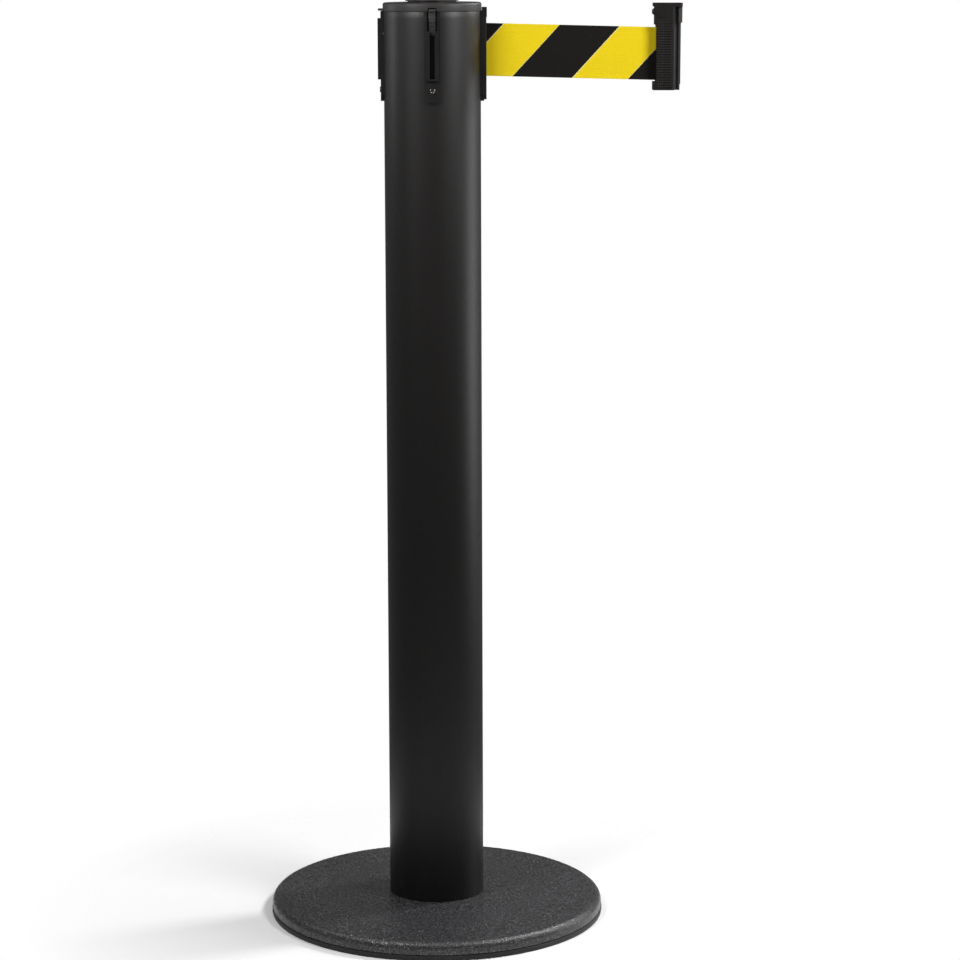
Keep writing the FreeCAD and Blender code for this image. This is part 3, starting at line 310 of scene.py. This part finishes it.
def post_coat():
    """Satin black powder coat with a fine orange peel."""
    coat = Recipe("post_coat", Specular_IOR_Level=0.36)
    peel = coat.noise(620, 3, 0.55)
    pinch = coat.noise(2300, 2, 0.6)
    cloud = coat.noise(7, 4, 0.6)
    streak = coat.noise(30, 3, 0.6, coat.stretched(1, 1, 0.05))
    body = coat.mix(cloud, shade(0.0064, 0.0056, 0.0053), shade(0.0092, 0.0081, 0.0077))
    colour = coat.mix(coat.between(pinch, 0.55, 0.8), body, shade(0.018, 0.0165, 0.016))
    height = coat.add("SeparateXYZ", {"Vector": coat.place}).outputs["Z"]
    scuff_zone = coat.between(height, 0.02, 0.14, 1.0, 0.0)
    scuff = coat.between(coat.noise(95, 5, 0.7, coat.stretched(1, 1, 0.4)), 0.60, 0.72)
    scuffed = coat.math("MULTIPLY", scuff, coat.math("MULTIPLY", scuff_zone, 0.5))
    colour = coat.mix(scuffed, colour, shade(0.035))
    normal = coat.bump(peel, 0.00016, 0.42)
    normal = coat.bump(pinch, 0.00009, 0.5, normal)
    rough = coat.between(streak, 0.3, 0.7, 0.41, 0.47)
    return coat.set(Base_Color=colour, Roughness=rough, Normal=normal)


def moulded(name, dark, light, rough, gloss=0.45):
    """Injection-moulded plastic with a spark-eroded grain and faint flow marks."""
    plastic = Recipe(name, Specular_IOR_Level=gloss)
    skin = plastic.noise(2600, 3, 0.6)
    flow = plastic.noise(60, 4, 0.6, plastic.stretched(1, 1, 0.35))
    rub = plastic.between(plastic.noise(260, 5, 0.75), 0.62, 0.8)
    body = plastic.mix(flow, shade(*dark), shade(*light))
    worn = shade(*(2.2 * level for level in light))
    colour = plastic.mix(plastic.math("MULTIPLY", rub, 0.5), body, worn)
    normal = plastic.bump(skin, 0.05 * MM, 0.6)
    roughness = plastic.between(flow, 0.3, 0.7, rough - 0.05, rough + 0.06)
    return plastic.set(Base_Color=colour, Roughness=roughness, Normal=normal)


def rubber():
    """Matt rubber with a little dust in its pores."""
    skin = Recipe("rubber", Specular_IOR_Level=0.35, Sheen_Weight=0.08, Sheen_Roughness=0.5)
    pores = skin.noise(1100, 4, 0.7)
    dust = skin.between(skin.noise(45, 5, 0.7), 0.45, 0.75)
    dusted = skin.math("MULTIPLY", dust, 0.35)
    colour = skin.mix(dusted, shade(0.014, 0.0135, 0.013), shade(0.045, 0.043, 0.04))
    normal = skin.bump(pores, 0.00012, 0.5)
    rough = skin.between(pores, 0.3, 0.7, 0.62, 0.78)
    return skin.set(Base_Color=colour, Roughness=rough, Normal=normal)


def bare_metal(name, tone, rough, stretch=(1, 1, 1)):
    """Machined or drawn metal with tool marks and a dull film."""
    metal = Recipe(name, Metallic=1.0)
    marks = metal.noise(900, 4, 0.65, metal.stretched(*stretch))
    film = metal.noise(120, 4, 0.6)
    darker = shade(*(0.7 * level for level in tone))
    colour = metal.mix(film, darker, shade(*tone))
    normal = metal.bump(marks, 0.00003, 0.5)
    roughness = metal.between(film, 0.3, 0.7, rough - 0.06, rough + 0.08)
    return metal.set(Base_Color=colour, Roughness=roughness, Normal=normal)


def nylon(name, tone, rough):
    """Natural nylon, slightly translucent and waxy."""
    wax = Recipe(name, Subsurface_Weight=0.15, Subsurface_Scale=0.002, Specular_IOR_Level=0.5)
    cloud = wax.noise(150, 4, 0.6)
    turning = wax.noise(1400, 2, 0.5, wax.stretched(0.1, 0.1, 1))
    colour = wax.mix(cloud, shade(*(0.85 * level for level in tone)), shade(*tone))
    normal = wax.bump(turning, 0.00003, 0.4)
    roughness = wax.between(cloud, 0.3, 0.7, rough, rough + 0.1)
    return wax.set(Base_Color=colour, Roughness=roughness, Normal=normal)


# a darker yellow, painted as the shade of gentle waves in the webbing
BELT_WAVE_SHADE = shade(0.665, 0.50, 0.005)
BELT_YELLOW = shade(0.715, 0.545, 0.006)
BELT_BLACK = shade(0.0058, 0.0044, 0.0038)
BELT_PALE = shade(0.74, 0.67, 0.28)
STRIPE_PITCH = 0.1211
STRIPE_BLACK = 0.0634
STRIPE_START = 0.1081
STRIPE_LEAN = 48 / 55
STRIPE_LINE = 0.0011
WEAVE_PITCH = 0.00085
ROLL_PITCH = 0.5 * MM
BELT_STANDOFF = 0.3 * MM


def webbing():
    """Woven polyester belt with slanted black and yellow stripes printed on it."""
    cloth = Recipe(
        "belt_webbing", Specular_IOR_Level=0.12, Sheen_Weight=0.03, Sheen_Roughness=0.4
    )
    level = cloth.add(
        "VectorRotate",
        {"Vector": cloth.place, "Center": mouth, "Angle": -droop},
        rotation_type="Y_AXIS",
    ).outputs["Vector"]
    axes = cloth.add("SeparateXYZ", {"Vector": level}).outputs
    across = cloth.math("SUBTRACT", axes["Z"], mouth.z)
    fray = cloth.between(cloth.noise(1300, 2, 0.6), 0.2, 0.8, -0.0003, 0.0003)
    slant = cloth.math("SUBTRACT", axes["X"], cloth.math("MULTIPLY", across, STRIPE_LEAN))
    slant = cloth.math("ADD", slant, fray)
    phase = cloth.math("WRAP", cloth.math("SUBTRACT", slant, STRIPE_START), STRIPE_PITCH, 0.0)
    black = cloth.math("LESS_THAN", phase, STRIPE_BLACK)
    inner_edge = cloth.math("ABSOLUTE", cloth.math("SUBTRACT", phase, STRIPE_BLACK))
    edge = cloth.math("MINIMUM", phase, inner_edge)
    line = cloth.math("LESS_THAN", edge, STRIPE_LINE / 2)
    # painted shade: a noise lays darker yellow patches for the shade of gentle waves in the webbing,
    # and also varies the roughness
    wave_shade = cloth.noise(40, 3, 0.6)
    yellow = cloth.mix(wave_shade, BELT_WAVE_SHADE, BELT_YELLOW)
    colour = cloth.mix(black, yellow, BELT_BLACK)
    colour = cloth.mix(cloth.math("MULTIPLY", line, 0.8), colour, BELT_PALE)
    turns = math.tau / WEAVE_PITCH
    warp = cloth.math("SINE", cloth.math("MULTIPLY", axes["X"], turns))
    weft = cloth.math("SINE", cloth.math("MULTIPLY", across, turns))
    threads = cloth.math("MULTIPLY", warp, weft)
    rib = cloth.math("SINE", cloth.math("MULTIPLY", across, turns / 2))
    normal = cloth.bump(threads, 0.00010, 0.5)
    normal = cloth.bump(rib, 0.00006, 0.4, normal)
    shadow = cloth.between(threads, -1, 1, 0.86, 1.0)
    deep = cloth.add("HueSaturation", {"Color": colour, "Value": shadow}).outputs["Color"]
    rough = cloth.between(wave_shade, 0.3, 0.7, 0.62, 0.74)
    return cloth.set(Base_Color=deep, Roughness=rough, Normal=normal)


def wound_belt():
    """The same belt seen as a roll: its turns show as rings on the ends."""
    roll = Recipe("belt_wound", Specular_IOR_Level=0.3, Sheen_Weight=0.1)
    axes = roll.add("SeparateXYZ", {"Vector": roll.place}).outputs
    flat = roll.add("CombineXYZ", {"X": axes["X"], "Y": axes["Y"]}).outputs["Vector"]
    radius = roll.add("VectorMath", {0: flat}, operation="LENGTH").outputs["Value"]
    turns = roll.math("SINE", roll.math("MULTIPLY", radius, math.tau / ROLL_PITCH))
    patch = roll.between(roll.noise(28, 1, 0.4), 0.47, 0.50)
    colour = roll.mix(patch, BELT_BLACK, BELT_YELLOW)
    normal = roll.bump(turns, 0.0002, 0.6)
    rough = roll.between(roll.noise(900, 2), 0.3, 0.7, 0.6, 0.75)
    return roll.set(Base_Color=colour, Roughness=rough, Normal=normal)


BLACK = (0.0070, 0.0062, 0.0060)
SOOT = (0.0105, 0.0095, 0.0092)
CAP_TONES = ((0.018, 0.0168, 0.0164), (0.025, 0.0234, 0.0228))
LATCH_TONES = ((0.030, 0.028, 0.027), (0.044, 0.041, 0.040))
END_TONES = ((0.0062, 0.0047, 0.0046), (0.0092, 0.0072, 0.0070))
RAIL_TONES = ((0.032, 0.030, 0.0295), (0.044, 0.0415, 0.0405))
FINISHES = {
    "base_coat": base_coat(),
    "rubber": rubber(),
    "post_coat": post_coat(),
    "cap_plastic": moulded("cap_plastic", *CAP_TONES, 0.48, gloss=0.34),
    "receiver_plastic": moulded("receiver_plastic", BLACK, SOOT, 0.40, gloss=0.30),
    "latch_plastic": moulded("latch_plastic", *LATCH_TONES, 0.26, gloss=0.6),
    "screw_metal": bare_metal("screw_metal", (0.20, 0.19, 0.185), 0.30),
    "steel": bare_metal("steel", (0.56, 0.555, 0.54), 0.30, (1, 1, 0.1)),
    "spring_steel": bare_metal("spring_steel", (0.32, 0.32, 0.34), 0.28),
    "inner_plastic": moulded("inner_plastic", (0.035, 0.036, 0.038), (0.05, 0.051, 0.054), 0.45),
    "bush_nylon": nylon("bush_nylon", (0.72, 0.68, 0.58), 0.38),
    "roller_nylon": nylon("roller_nylon", (0.78, 0.77, 0.72), 0.34),
    "belt_webbing": webbing(),
    "belt_wound": wound_belt(),
    "end_plastic": moulded("end_plastic", *END_TONES, 0.46, gloss=0.15),
    "rail_plastic": moulded("rail_plastic", *RAIL_TONES, 0.36),
    "button_plastic": moulded("button_plastic", (0.013, 0.012, 0.012), (0.018, 0.017, 0.017), 0.30),
}

# every CAD node takes the finish that its material slot asks for
for node in frame["nodes"].values():
    finish = node.data.materials[0].name.split(".")[0]
    node.data.materials[0] = FINISHES[finish]
frame["nodes"]["belt_roll"].data.materials[0] = FINISHES["belt_wound"]


# ---------------------------------------------------------------- camera, light and floor


def camera():
    """The camera stands a little over three metres in front and looks a little down."""
    lens = bpy.data.cameras.new("camera")
    lens.lens = 114.84
    lens.sensor_width = 36
    lens.shift_x = 0.04763
    lens.shift_y = -0.05904
    lens.clip_end = 100
    made = bpy.data.objects.new("camera", lens)
    place = Matrix.Translation((0, -3.227, 1.0463))
    tilt = Matrix.Rotation(math.radians(90 - 8.981), 4, "X")
    roll = Matrix.Rotation(math.radians(-0.314), 4, "Z")
    made.matrix_world = place @ tilt @ roll
    bpy.context.scene.collection.objects.link(made)
    bpy.context.scene.camera = made


def softbox(name, azimuth, away, height, size, power, aim=0.5):
    """A soft light; azimuth 0 stands in front of the post and 90 to its right."""
    lamp = bpy.data.lights.new(name, "AREA")
    lamp.shape = "RECTANGLE"
    lamp.size, lamp.size_y = size
    lamp.energy = power
    made = bpy.data.objects.new(name, lamp)
    turn = math.radians(azimuth)
    made.location = (away * math.sin(turn), -away * math.cos(turn), height)
    made.rotation_mode = "QUATERNION"
    made.rotation_quaternion = (Vector((0, 0, aim)) - made.location).to_track_quat("-Z", "Y")
    made.visible_camera = False
    bpy.context.scene.collection.objects.link(made)


def overhead(strength, spread):
    """Light straight down from above, which brightens the floor and the base."""
    lamp = bpy.data.lights.new("overhead", "SUN")
    lamp.energy = strength
    lamp.angle = math.radians(spread)
    made = bpy.data.objects.new("overhead", lamp)
    bpy.context.scene.collection.objects.link(made)


def surroundings(ambient):
    """A pale room that lights the object less than it shows."""
    world = bpy.data.worlds.new("room")
    world.use_nodes = True
    tree = world.node_tree
    background = tree.nodes["Background"]
    background.inputs["Color"].default_value = shade(1.0)
    rays = tree.nodes.new("ShaderNodeLightPath")
    level = tree.nodes.new("ShaderNodeMapRange")
    level.inputs["To Min"].default_value = ambient
    level.inputs["To Max"].default_value = 1.0
    tree.links.new(rays.outputs["Is Camera Ray"], level.inputs["Value"])
    tree.links.new(level.outputs["Result"], background.inputs["Strength"])
    bpy.context.scene.world = world


def floor(radius, solid):
    """A round pale floor that fades into the room beyond its solid middle."""
    shape = bmesh.new()
    bmesh.ops.create_circle(shape, cap_ends=True, segments=128, radius=radius)
    made = piece("floor", shape)
    paint = Recipe("floor_paint")
    mottle = paint.noise(3, 3, 0.5)
    colour = paint.mix(mottle, shade(0.84, 0.84, 0.845), shade(0.87, 0.87, 0.872))
    away = paint.add("VectorMath", {0: paint.place}, operation="LENGTH").outputs["Value"]
    fade = paint.between(away, solid, radius, 1.0, 0.0)
    speckle = paint.bump(paint.noise(260, 3, 0.6), 0.0002, 0.3)
    rough = paint.between(mottle, 0.3, 0.7, 0.72, 0.82)
    finish = paint.set(Base_Color=colour, Alpha=fade, Roughness=rough, Normal=speckle)
    made.data.materials.append(finish)


camera()
surroundings(ambient=0.16)
overhead(0.2, 40)
softbox("left_front", -43, 0.9, 1.36, (0.35, 0.45), 10.0, aim=0.88)
softbox("right_front", 53, 0.95, 1.28, (0.32, 0.45), 9.5, aim=0.86)
softbox("left_side", -105, 0.8, 1.10, (0.2, 0.5), 1.5, aim=0.8)
softbox("right_back", 113, 1.2, 1.50, (0.20, 0.40), 18.0)
softbox("right_side", 104, 1.1, 0.58, (0.50, 0.9), 4.6, aim=0.50)
floor(radius=0.45, solid=0.20)
bpy.context.scene.view_settings.view_transform = "Standard"


# ---------------------------------------------------------------- base and ring


def make_base():
    low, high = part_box("base_plate")
    ring_low, ring_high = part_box("floor_ring")
    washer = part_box("bolt_washer")[1]
    tube_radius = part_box("post_tube")[1].x
    radius = high.x
    seat = tube_radius + 1.2 * MM
    rim_top = high.z - 3.2 * MM
    rabbet = radius - 8.3 * MM
    bolt = 8.5 * MM
    pocket = washer.x + 4 * MM
    outline = soft_outline(
        [
            (pocket, low.z, 0.8 * MM),
            (rabbet, low.z, 0.4 * MM),
            (rabbet, ring_high.z + 0.5 * MM, 0.3 * MM),
            (radius, ring_high.z + 0.5 * MM, 0.9 * MM),
            (radius, rim_top, 7.8 * MM),
            (seat, high.z, 20 * MM),
            (bolt, high.z, 0.5 * MM),
            (bolt, washer.z, 0.2 * MM),
            (pocket, washer.z, 0.6 * MM),
        ],
        steps=12,
        share=0.62,
    )
    dress(lathe("weighted_base", outline), "base_coat", "post", "base_coat", "base_plate")

    edge = ring_high.x
    lip = 1.0 * MM
    ring = soft_outline(
        [
            (rabbet - 11.5 * MM, ring_low.z, 0.4 * MM),
            (edge - 0.5 * MM, ring_low.z, 0.7 * MM),
            (edge, ring_low.z + 1.6 * MM, 0.6 * MM),
            (edge, ring_high.z, lip),
            (rabbet + 0.1 * MM, ring_high.z, 0.2 * MM),
            (rabbet + 0.1 * MM, low.z - 0.1 * MM, 0.2 * MM),
            (rabbet - 11.5 * MM, low.z - 0.1 * MM, 0.3 * MM),
        ]
    )
    dress(lathe("foot_ring", ring), "rubber", "post", "rubber", "floor_ring")


# ---------------------------------------------------------------- post tube


def make_tube():
    """The tube's wall as a grid of columns and levels, with its windows left out."""
    low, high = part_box("post_tube")
    radius = high.x
    wall = 2.0 * MM
    slot_half = 6.8 * MM
    slot_low = receiver_high.z - 25.6 * MM
    windows = [(math.radians(angle), slot_half, slot_low, high.z) for angle in SIDES.values()]
    outlet_low, outlet_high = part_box("belt_outlet")
    mouth_half = 4.3 * MM
    mouth_low = outlet_low.z + 22 * MM
    mouth_high = outlet_high.z - 11 * MM
    windows.append((0.0, mouth_half, mouth_low, mouth_high))
    edges = []
    for middle, half, _, _ in windows:
        reach = math.asin(half / radius)
        edges += [(middle - reach) % math.tau, (middle + reach) % math.tau]
    step = math.tau / AROUND
    clear = 0.4 * step
    columns = list(edges)
    for number in range(AROUND):
        angle = number * step
        if all(abs(angle - edge) > clear for edge in edges):
            columns.append(angle)
    columns.sort()
    levels = sorted({low.z, high.z, *(level for window in windows for level in window[2:])})

    def open_at(angle, height):
        for middle, half, bottom, top in windows:
            turn = (angle - middle + math.pi) % math.tau - math.pi
            if abs(math.sin(turn)) * radius < half and math.cos(turn) > 0 and bottom < height < top:
                return True
        return False

    shape = bmesh.new()
    grid = [
        [shape.verts.new((radius * math.cos(a), radius * math.sin(a), z)) for z in levels]
        for a in columns
    ]
    for number, angle in enumerate(columns):
        after = (number + 1) % len(columns)
        gap = (columns[after] - angle) % math.tau
        for row, (bottom, top) in enumerate(zip(levels, levels[1:])):
            if not open_at(angle + gap / 2, (bottom + top) / 2):
                here, beyond = grid[number], grid[after]
                shape.faces.new((here[row], beyond[row], beyond[row + 1], here[row + 1]))
    loose = [vert for vert in shape.verts if not vert.link_faces]
    bmesh.ops.delete(shape, geom=loose, context="VERTS")
    made = piece("tube", shape)
    thick = made.modifiers.new("wall", "SOLIDIFY")
    thick.thickness = wall
    thick.offset = -1
    round_edges(made, 0.25 * MM)
    dress(made, "post_coat", "post", "post_coat", "post_tube")


# ---------------------------------------------------------------- cap and plug


def make_cap():
    low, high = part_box("top_cap")
    plug_low, plug_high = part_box("cap_plug")
    tube_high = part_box("post_tube")[1]
    rim, top, under = high.x, high.z, tube_high.z
    skirt = tube_high.x - 2.2 * MM
    inner = skirt - 2.4 * MM
    dish = top - 0.3 * MM
    groove = 43.5 * MM
    groove_low = top - 1.9 * MM
    socket = 9.0 * MM
    socket_low = plug_low.z - 0.4 * MM
    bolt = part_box("cap_bolt")[1]
    bolt_seat = bolt.z - 3.6 * MM
    boss = 11.5 * MM
    boss_low = under - 3.3 * MM
    ceiling = under + 4.3 * MM
    outline = soft_outline(
        [
            (3.2 * MM, boss_low, 0.3 * MM),
            (boss, boss_low, 0.4 * MM),
            (boss, ceiling, 0.6 * MM),
            (inner, ceiling, 0.8 * MM),
            (inner, low.z, 0.5 * MM),
            (skirt, low.z, 0.8 * MM),
            (skirt, under, 0.1 * MM),
            (rim, under, 0.35 * MM),
            (rim, top, 2.2 * MM),
            (groove, top, 0.35 * MM),
            (groove, groove_low, 0.3 * MM),
            (groove - 2.2 * MM, groove_low, 0.3 * MM),
            (groove - 2.2 * MM, dish, 0.35 * MM),
            (socket, dish, 0.3 * MM),
            (socket, socket_low, 0.2 * MM),
            (bolt.x + 0.4 * MM, socket_low, 0.2 * MM),
            (bolt.x + 0.4 * MM, bolt_seat, 0.1 * MM),
            (3.2 * MM, bolt_seat, 0.1 * MM),
        ]
    )
    made = lathe("cap", outline)
    cutters = []
    for angle in (0, *SIDES.values()):
        turn = Matrix.Rotation(math.radians(angle), 4, "Z")
        skirt_notch = block(
            "skirt_notch",
            (skirt - 7.2 * MM, -12 * MM, low.z - 1 * MM),
            (skirt + 0.5 * MM, 12 * MM, under),
        )
        skirt_notch.data.transform(turn)
        cutters.append(skirt_notch)
        if angle:
            flange_notch = block(
                "flange_notch",
                (45.5 * MM, -4.4 * MM, under - 1 * MM),
                (rim + 1 * MM, 4.4 * MM, under + 3.9 * MM),
                0.6 * MM,
            )
            flange_notch.data.transform(turn)
            cutters.append(flange_notch)
    dress(carve(made, *cutters), "cap_plastic", "post", "cap_plastic", "top_cap")

    neck = 25.5 * MM
    neck_top = plug_high.z - 4.8 * MM
    stem = 8.8 * MM
    crown = 0.35 * MM
    profile = soft_outline(
        [
            (-stem, plug_low.z, 0),
            (stem, plug_low.z, 0.6 * MM),
            (stem, dish + 0.15 * MM, 0.2 * MM),
            (neck, dish + 0.15 * MM, 0.3 * MM),
            (neck, neck_top, 0.2 * MM),
            (plug_high.x, neck_top, 0.5 * MM),
            (plug_high.x, plug_high.z - crown, 1.5 * MM),
            (-plug_high.x, plug_high.z + crown, 0),
        ],
        steps=7,
    )
    half = [Vector((0, plug_low.z))]
    half += [point for point in profile if point.x > 0]
    half.append(Vector((0, plug_high.z)))
    dress(lathe("plug", half, closed=False), "cap_plastic", "cap_plug", "cap_plastic", "cap_plug")


# ---------------------------------------------------------------- receivers, latches and outlet


def make_receivers():
    for side in SIDES:
        receiver = softened(f"{side}_receiver", 0.35 * MM)
        dress(receiver, "receiver_plastic", "post", "receiver_plastic", f"{side}_receiver")
        latch = softened(f"{side}_latch", 0.25 * MM)
        dress(latch, "latch_plastic", f"{side}_latch", "latch_plastic", f"{side}_latch")
    screws = softened("receiver_screws", 0.4 * MM)
    dress(screws, "screw_metal", "post", "screw_metal", "receiver_screws")
    outlet = softened("belt_outlet", 0.4 * MM)
    dress(outlet, "receiver_plastic", "post", "receiver_plastic", "belt_outlet")
    screw = softened("outlet_screw", 0.4 * MM)
    dress(screw, "screw_metal", "post", "screw_metal", "outlet_screw")


# ---------------------------------------------------------------- belt


def belt_line():
    """The belt's centre line seen from above: off the roll, round the roller and out of the mouth."""
    roller_low, roller_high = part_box("left_guide_roller")
    roller = Vector(((roller_low.x + roller_high.x) / 2, (roller_low.y + roller_high.y) / 2))
    wrap = (roller_high.x - roller_low.x) / 2 + BELT_STANDOFF
    roll = roll_high.x + BELT_STANDOFF
    heading = math.atan2(roller.y, roller.x) - math.asin((roll + wrap) / roller.length)
    normal = Vector((-math.sin(heading), math.cos(heading)))
    points = [normal * roll]
    steps = 8
    for step in range(steps + 1):
        turn = heading * (1 - step / steps)
        points.append(roller + wrap * Vector((math.sin(turn), -math.cos(turn))))
    points.append(Vector((mouth.x, 0)))
    return points


def make_belt():
    """One woven strip with slightly thicker selvedges and a soft ripple by the clamp."""
    width = roll_high.z - roll_low.z
    half = width / 2
    pin = Vector((loop.x, 0))
    loop_radius = (pin_high.y - pin_low.y) / 2 + BELT_STANDOFF
    end_x = level_box("belt_end_front_shell")[0].x + 3.1 * MM
    straight = Matrix.Identity(4)
    line = [(point, straight) for point in belt_line()]
    ripple_steps = 30
    for step in range(1, ripple_steps + 1):
        share = step / ripple_steps
        x = mouth.x + (end_x - mouth.x) * share
        swell = 0.10 * MM * share**6 * math.sin(math.tau * (end_x - x) / (7.5 * MM))
        line.append((Vector((x, swell)), DROOPED))
    line.append((Vector((pin.x - 1.35 * loop_radius, 0)), HUNG))
    turns = 20
    wrapped = 300
    for step in range(turns + 1):
        turn = math.radians(-wrapped / 2 + wrapped * step / turns)
        line.append((pin + loop_radius * Vector((math.cos(turn), math.sin(turn))), HUNG))

    edge = 1.6 * MM
    across = [-half + edge * share for share in (0, 0.15, 0.5, 0.85, 1)]
    count = 12
    across += [-half + edge + (width - 2 * edge) * step / count for step in range(1, count)]
    across += [-value for value in reversed(across[:5])]

    def thickness(value):
        inset = half - abs(value)
        if inset < 0.2 * edge:
            return 0.14 * MM
        return 0.25 * MM if inset < 0.9 * edge else 0.22 * MM

    shape = bmesh.new()
    rings = []
    for number, (point, place) in enumerate(line):
        before = line[max(number - 1, 0)][0]
        after = line[min(number + 1, len(line) - 1)][0]
        way = (after - before).normalized()
        side = Vector((-way.y, way.x))
        ring = []
        loop_round = [(value, 1) for value in across] + [(value, -1) for value in reversed(across)]
        for value, sign in loop_round:
            spot = point + side * sign * thickness(value)
            ring.append(shape.verts.new(place @ Vector((spot.x, spot.y, mouth.z + value))))
        rings.append(ring)
    for first, second in zip(rings, rings[1:]):
        for number in range(len(first)):
            after = (number + 1) % len(first)
            shape.faces.new((first[number], first[after], second[after], second[number]))
    shape.faces.new(reversed(rings[0]))
    shape.faces.new(rings[-1])
    bmesh.ops.recalc_face_normals(shape, faces=shape.faces)
    made = piece("belt", shape)
    made.data.materials.append(FINISHES["belt_webbing"])
    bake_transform(made)
    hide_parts("belt_web")


# ---------------------------------------------------------------- belt end


def level_box(node):
    """Lowest and highest corner of a piece of the belt end before it hung from the belt."""
    back = HUNG.inverted()
    corners = [back @ vert.co for vert in frame["nodes"][node].data.vertices]
    low = Vector(min(c[axis] for c in corners) for axis in range(3))
    high = Vector(max(c[axis] for c in corners) for axis in range(3))
    return low, high


def make_grip(side, sign):
    """Grip ribs on one face of the belt end, as a raised panel of real ridges."""
    low, high = level_box(f"belt_end_{side}_shell")
    face = sign * (high.y - low.y)
    left = low.x + 4.2 * MM
    knurl_right = left + 6.0 * MM
    right = left + 15.2 * MM
    bottom = low.z + (2.0 if sign < 0 else 8.0) * MM
    top = low.z + 72.0 * MM
    pitch = 2.65 * MM
    fine = 2.0 * MM
    proud = 0.42 * MM
    columns = 60
    across = [left + (right - left) * step / columns for step in range(columns + 1)]
    ribs = round((top - bottom) / pitch)
    levels = ribs * 10
    up = [bottom + pitch * ribs * step / levels for step in range(levels + 1)]

    def height(x, z):
        rib = 0.5 - 0.5 * math.cos(math.tau * (z - bottom) / pitch)
        border = min(x - left, right - x, z - bottom, up[-1] - z) / (0.5 * MM)
        if x < knurl_right:
            rib *= 0.35 + 0.65 * (0.5 - 0.5 * math.cos(math.tau * (x - left) / fine))
        elif x < knurl_right + 0.5 * MM:
            rib *= 0.2
        return proud * rib**0.8 * min(max(border, 0), 1)

    shape = bmesh.new()
    sunk = 0.12 * MM
    grid = []
    for x in across:
        column = []
        for z in up:
            on_rim = x in (across[0], across[-1]) or z in (up[0], up[-1])
            y = face + sign * (height(x, z) - sunk * on_rim)
            column.append(shape.verts.new(HUNG @ Vector((x, y, z))))
        grid.append(column)
    for first, second in zip(grid, grid[1:]):
        for row in range(len(up) - 1):
            shape.faces.new((first[row], second[row], second[row + 1], first[row + 1]))
    if sign > 0:
        bmesh.ops.reverse_faces(shape, faces=shape.faces)
    made = piece(f"grip_{side}", shape)
    dress(made, "end_plastic", "belt_end", "end_plastic")


def make_belt_end():
    for side, sign in (("front", -1), ("back", 1)):
        shell = softened(f"belt_end_{side}_shell", 0.35 * MM)
        dress(shell, "end_plastic", "belt_end", "end_plastic", f"belt_end_{side}_shell")
        make_grip(side, sign)
    rail = softened("belt_end_rail", 0.5 * MM, steps=3)
    dress(rail, "rail_plastic", "belt_end", "rail_plastic", "belt_end_rail")
    clip = softened("shell_clip", 0.2 * MM)
    dress(clip, "end_plastic", "belt_end", "end_plastic", "shell_clip")
    screws = softened("belt_end_screws", 0.35 * MM)
    dress(screws, "screw_metal", "belt_end", "screw_metal", "belt_end_screws")
    button = softened("lock_button", 0.8 * MM, steps=4)
    dress(button, "button_plastic", "lock_button", "button_plastic", "lock_button")


def make_button_spring():
    """The coil behind the button, copied from its CAD piece."""
    shape = bmesh.new()
    shape.from_mesh(frame["nodes"]["button_spring"].data)
    made = piece("button_coil", shape)
    made.data.materials.append(FINISHES["spring_steel"])
    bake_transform(made)
    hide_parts("button_spring")


make_base()
make_tube()
make_cap()
make_receivers()
make_belt()
make_belt_end()
make_button_spring()
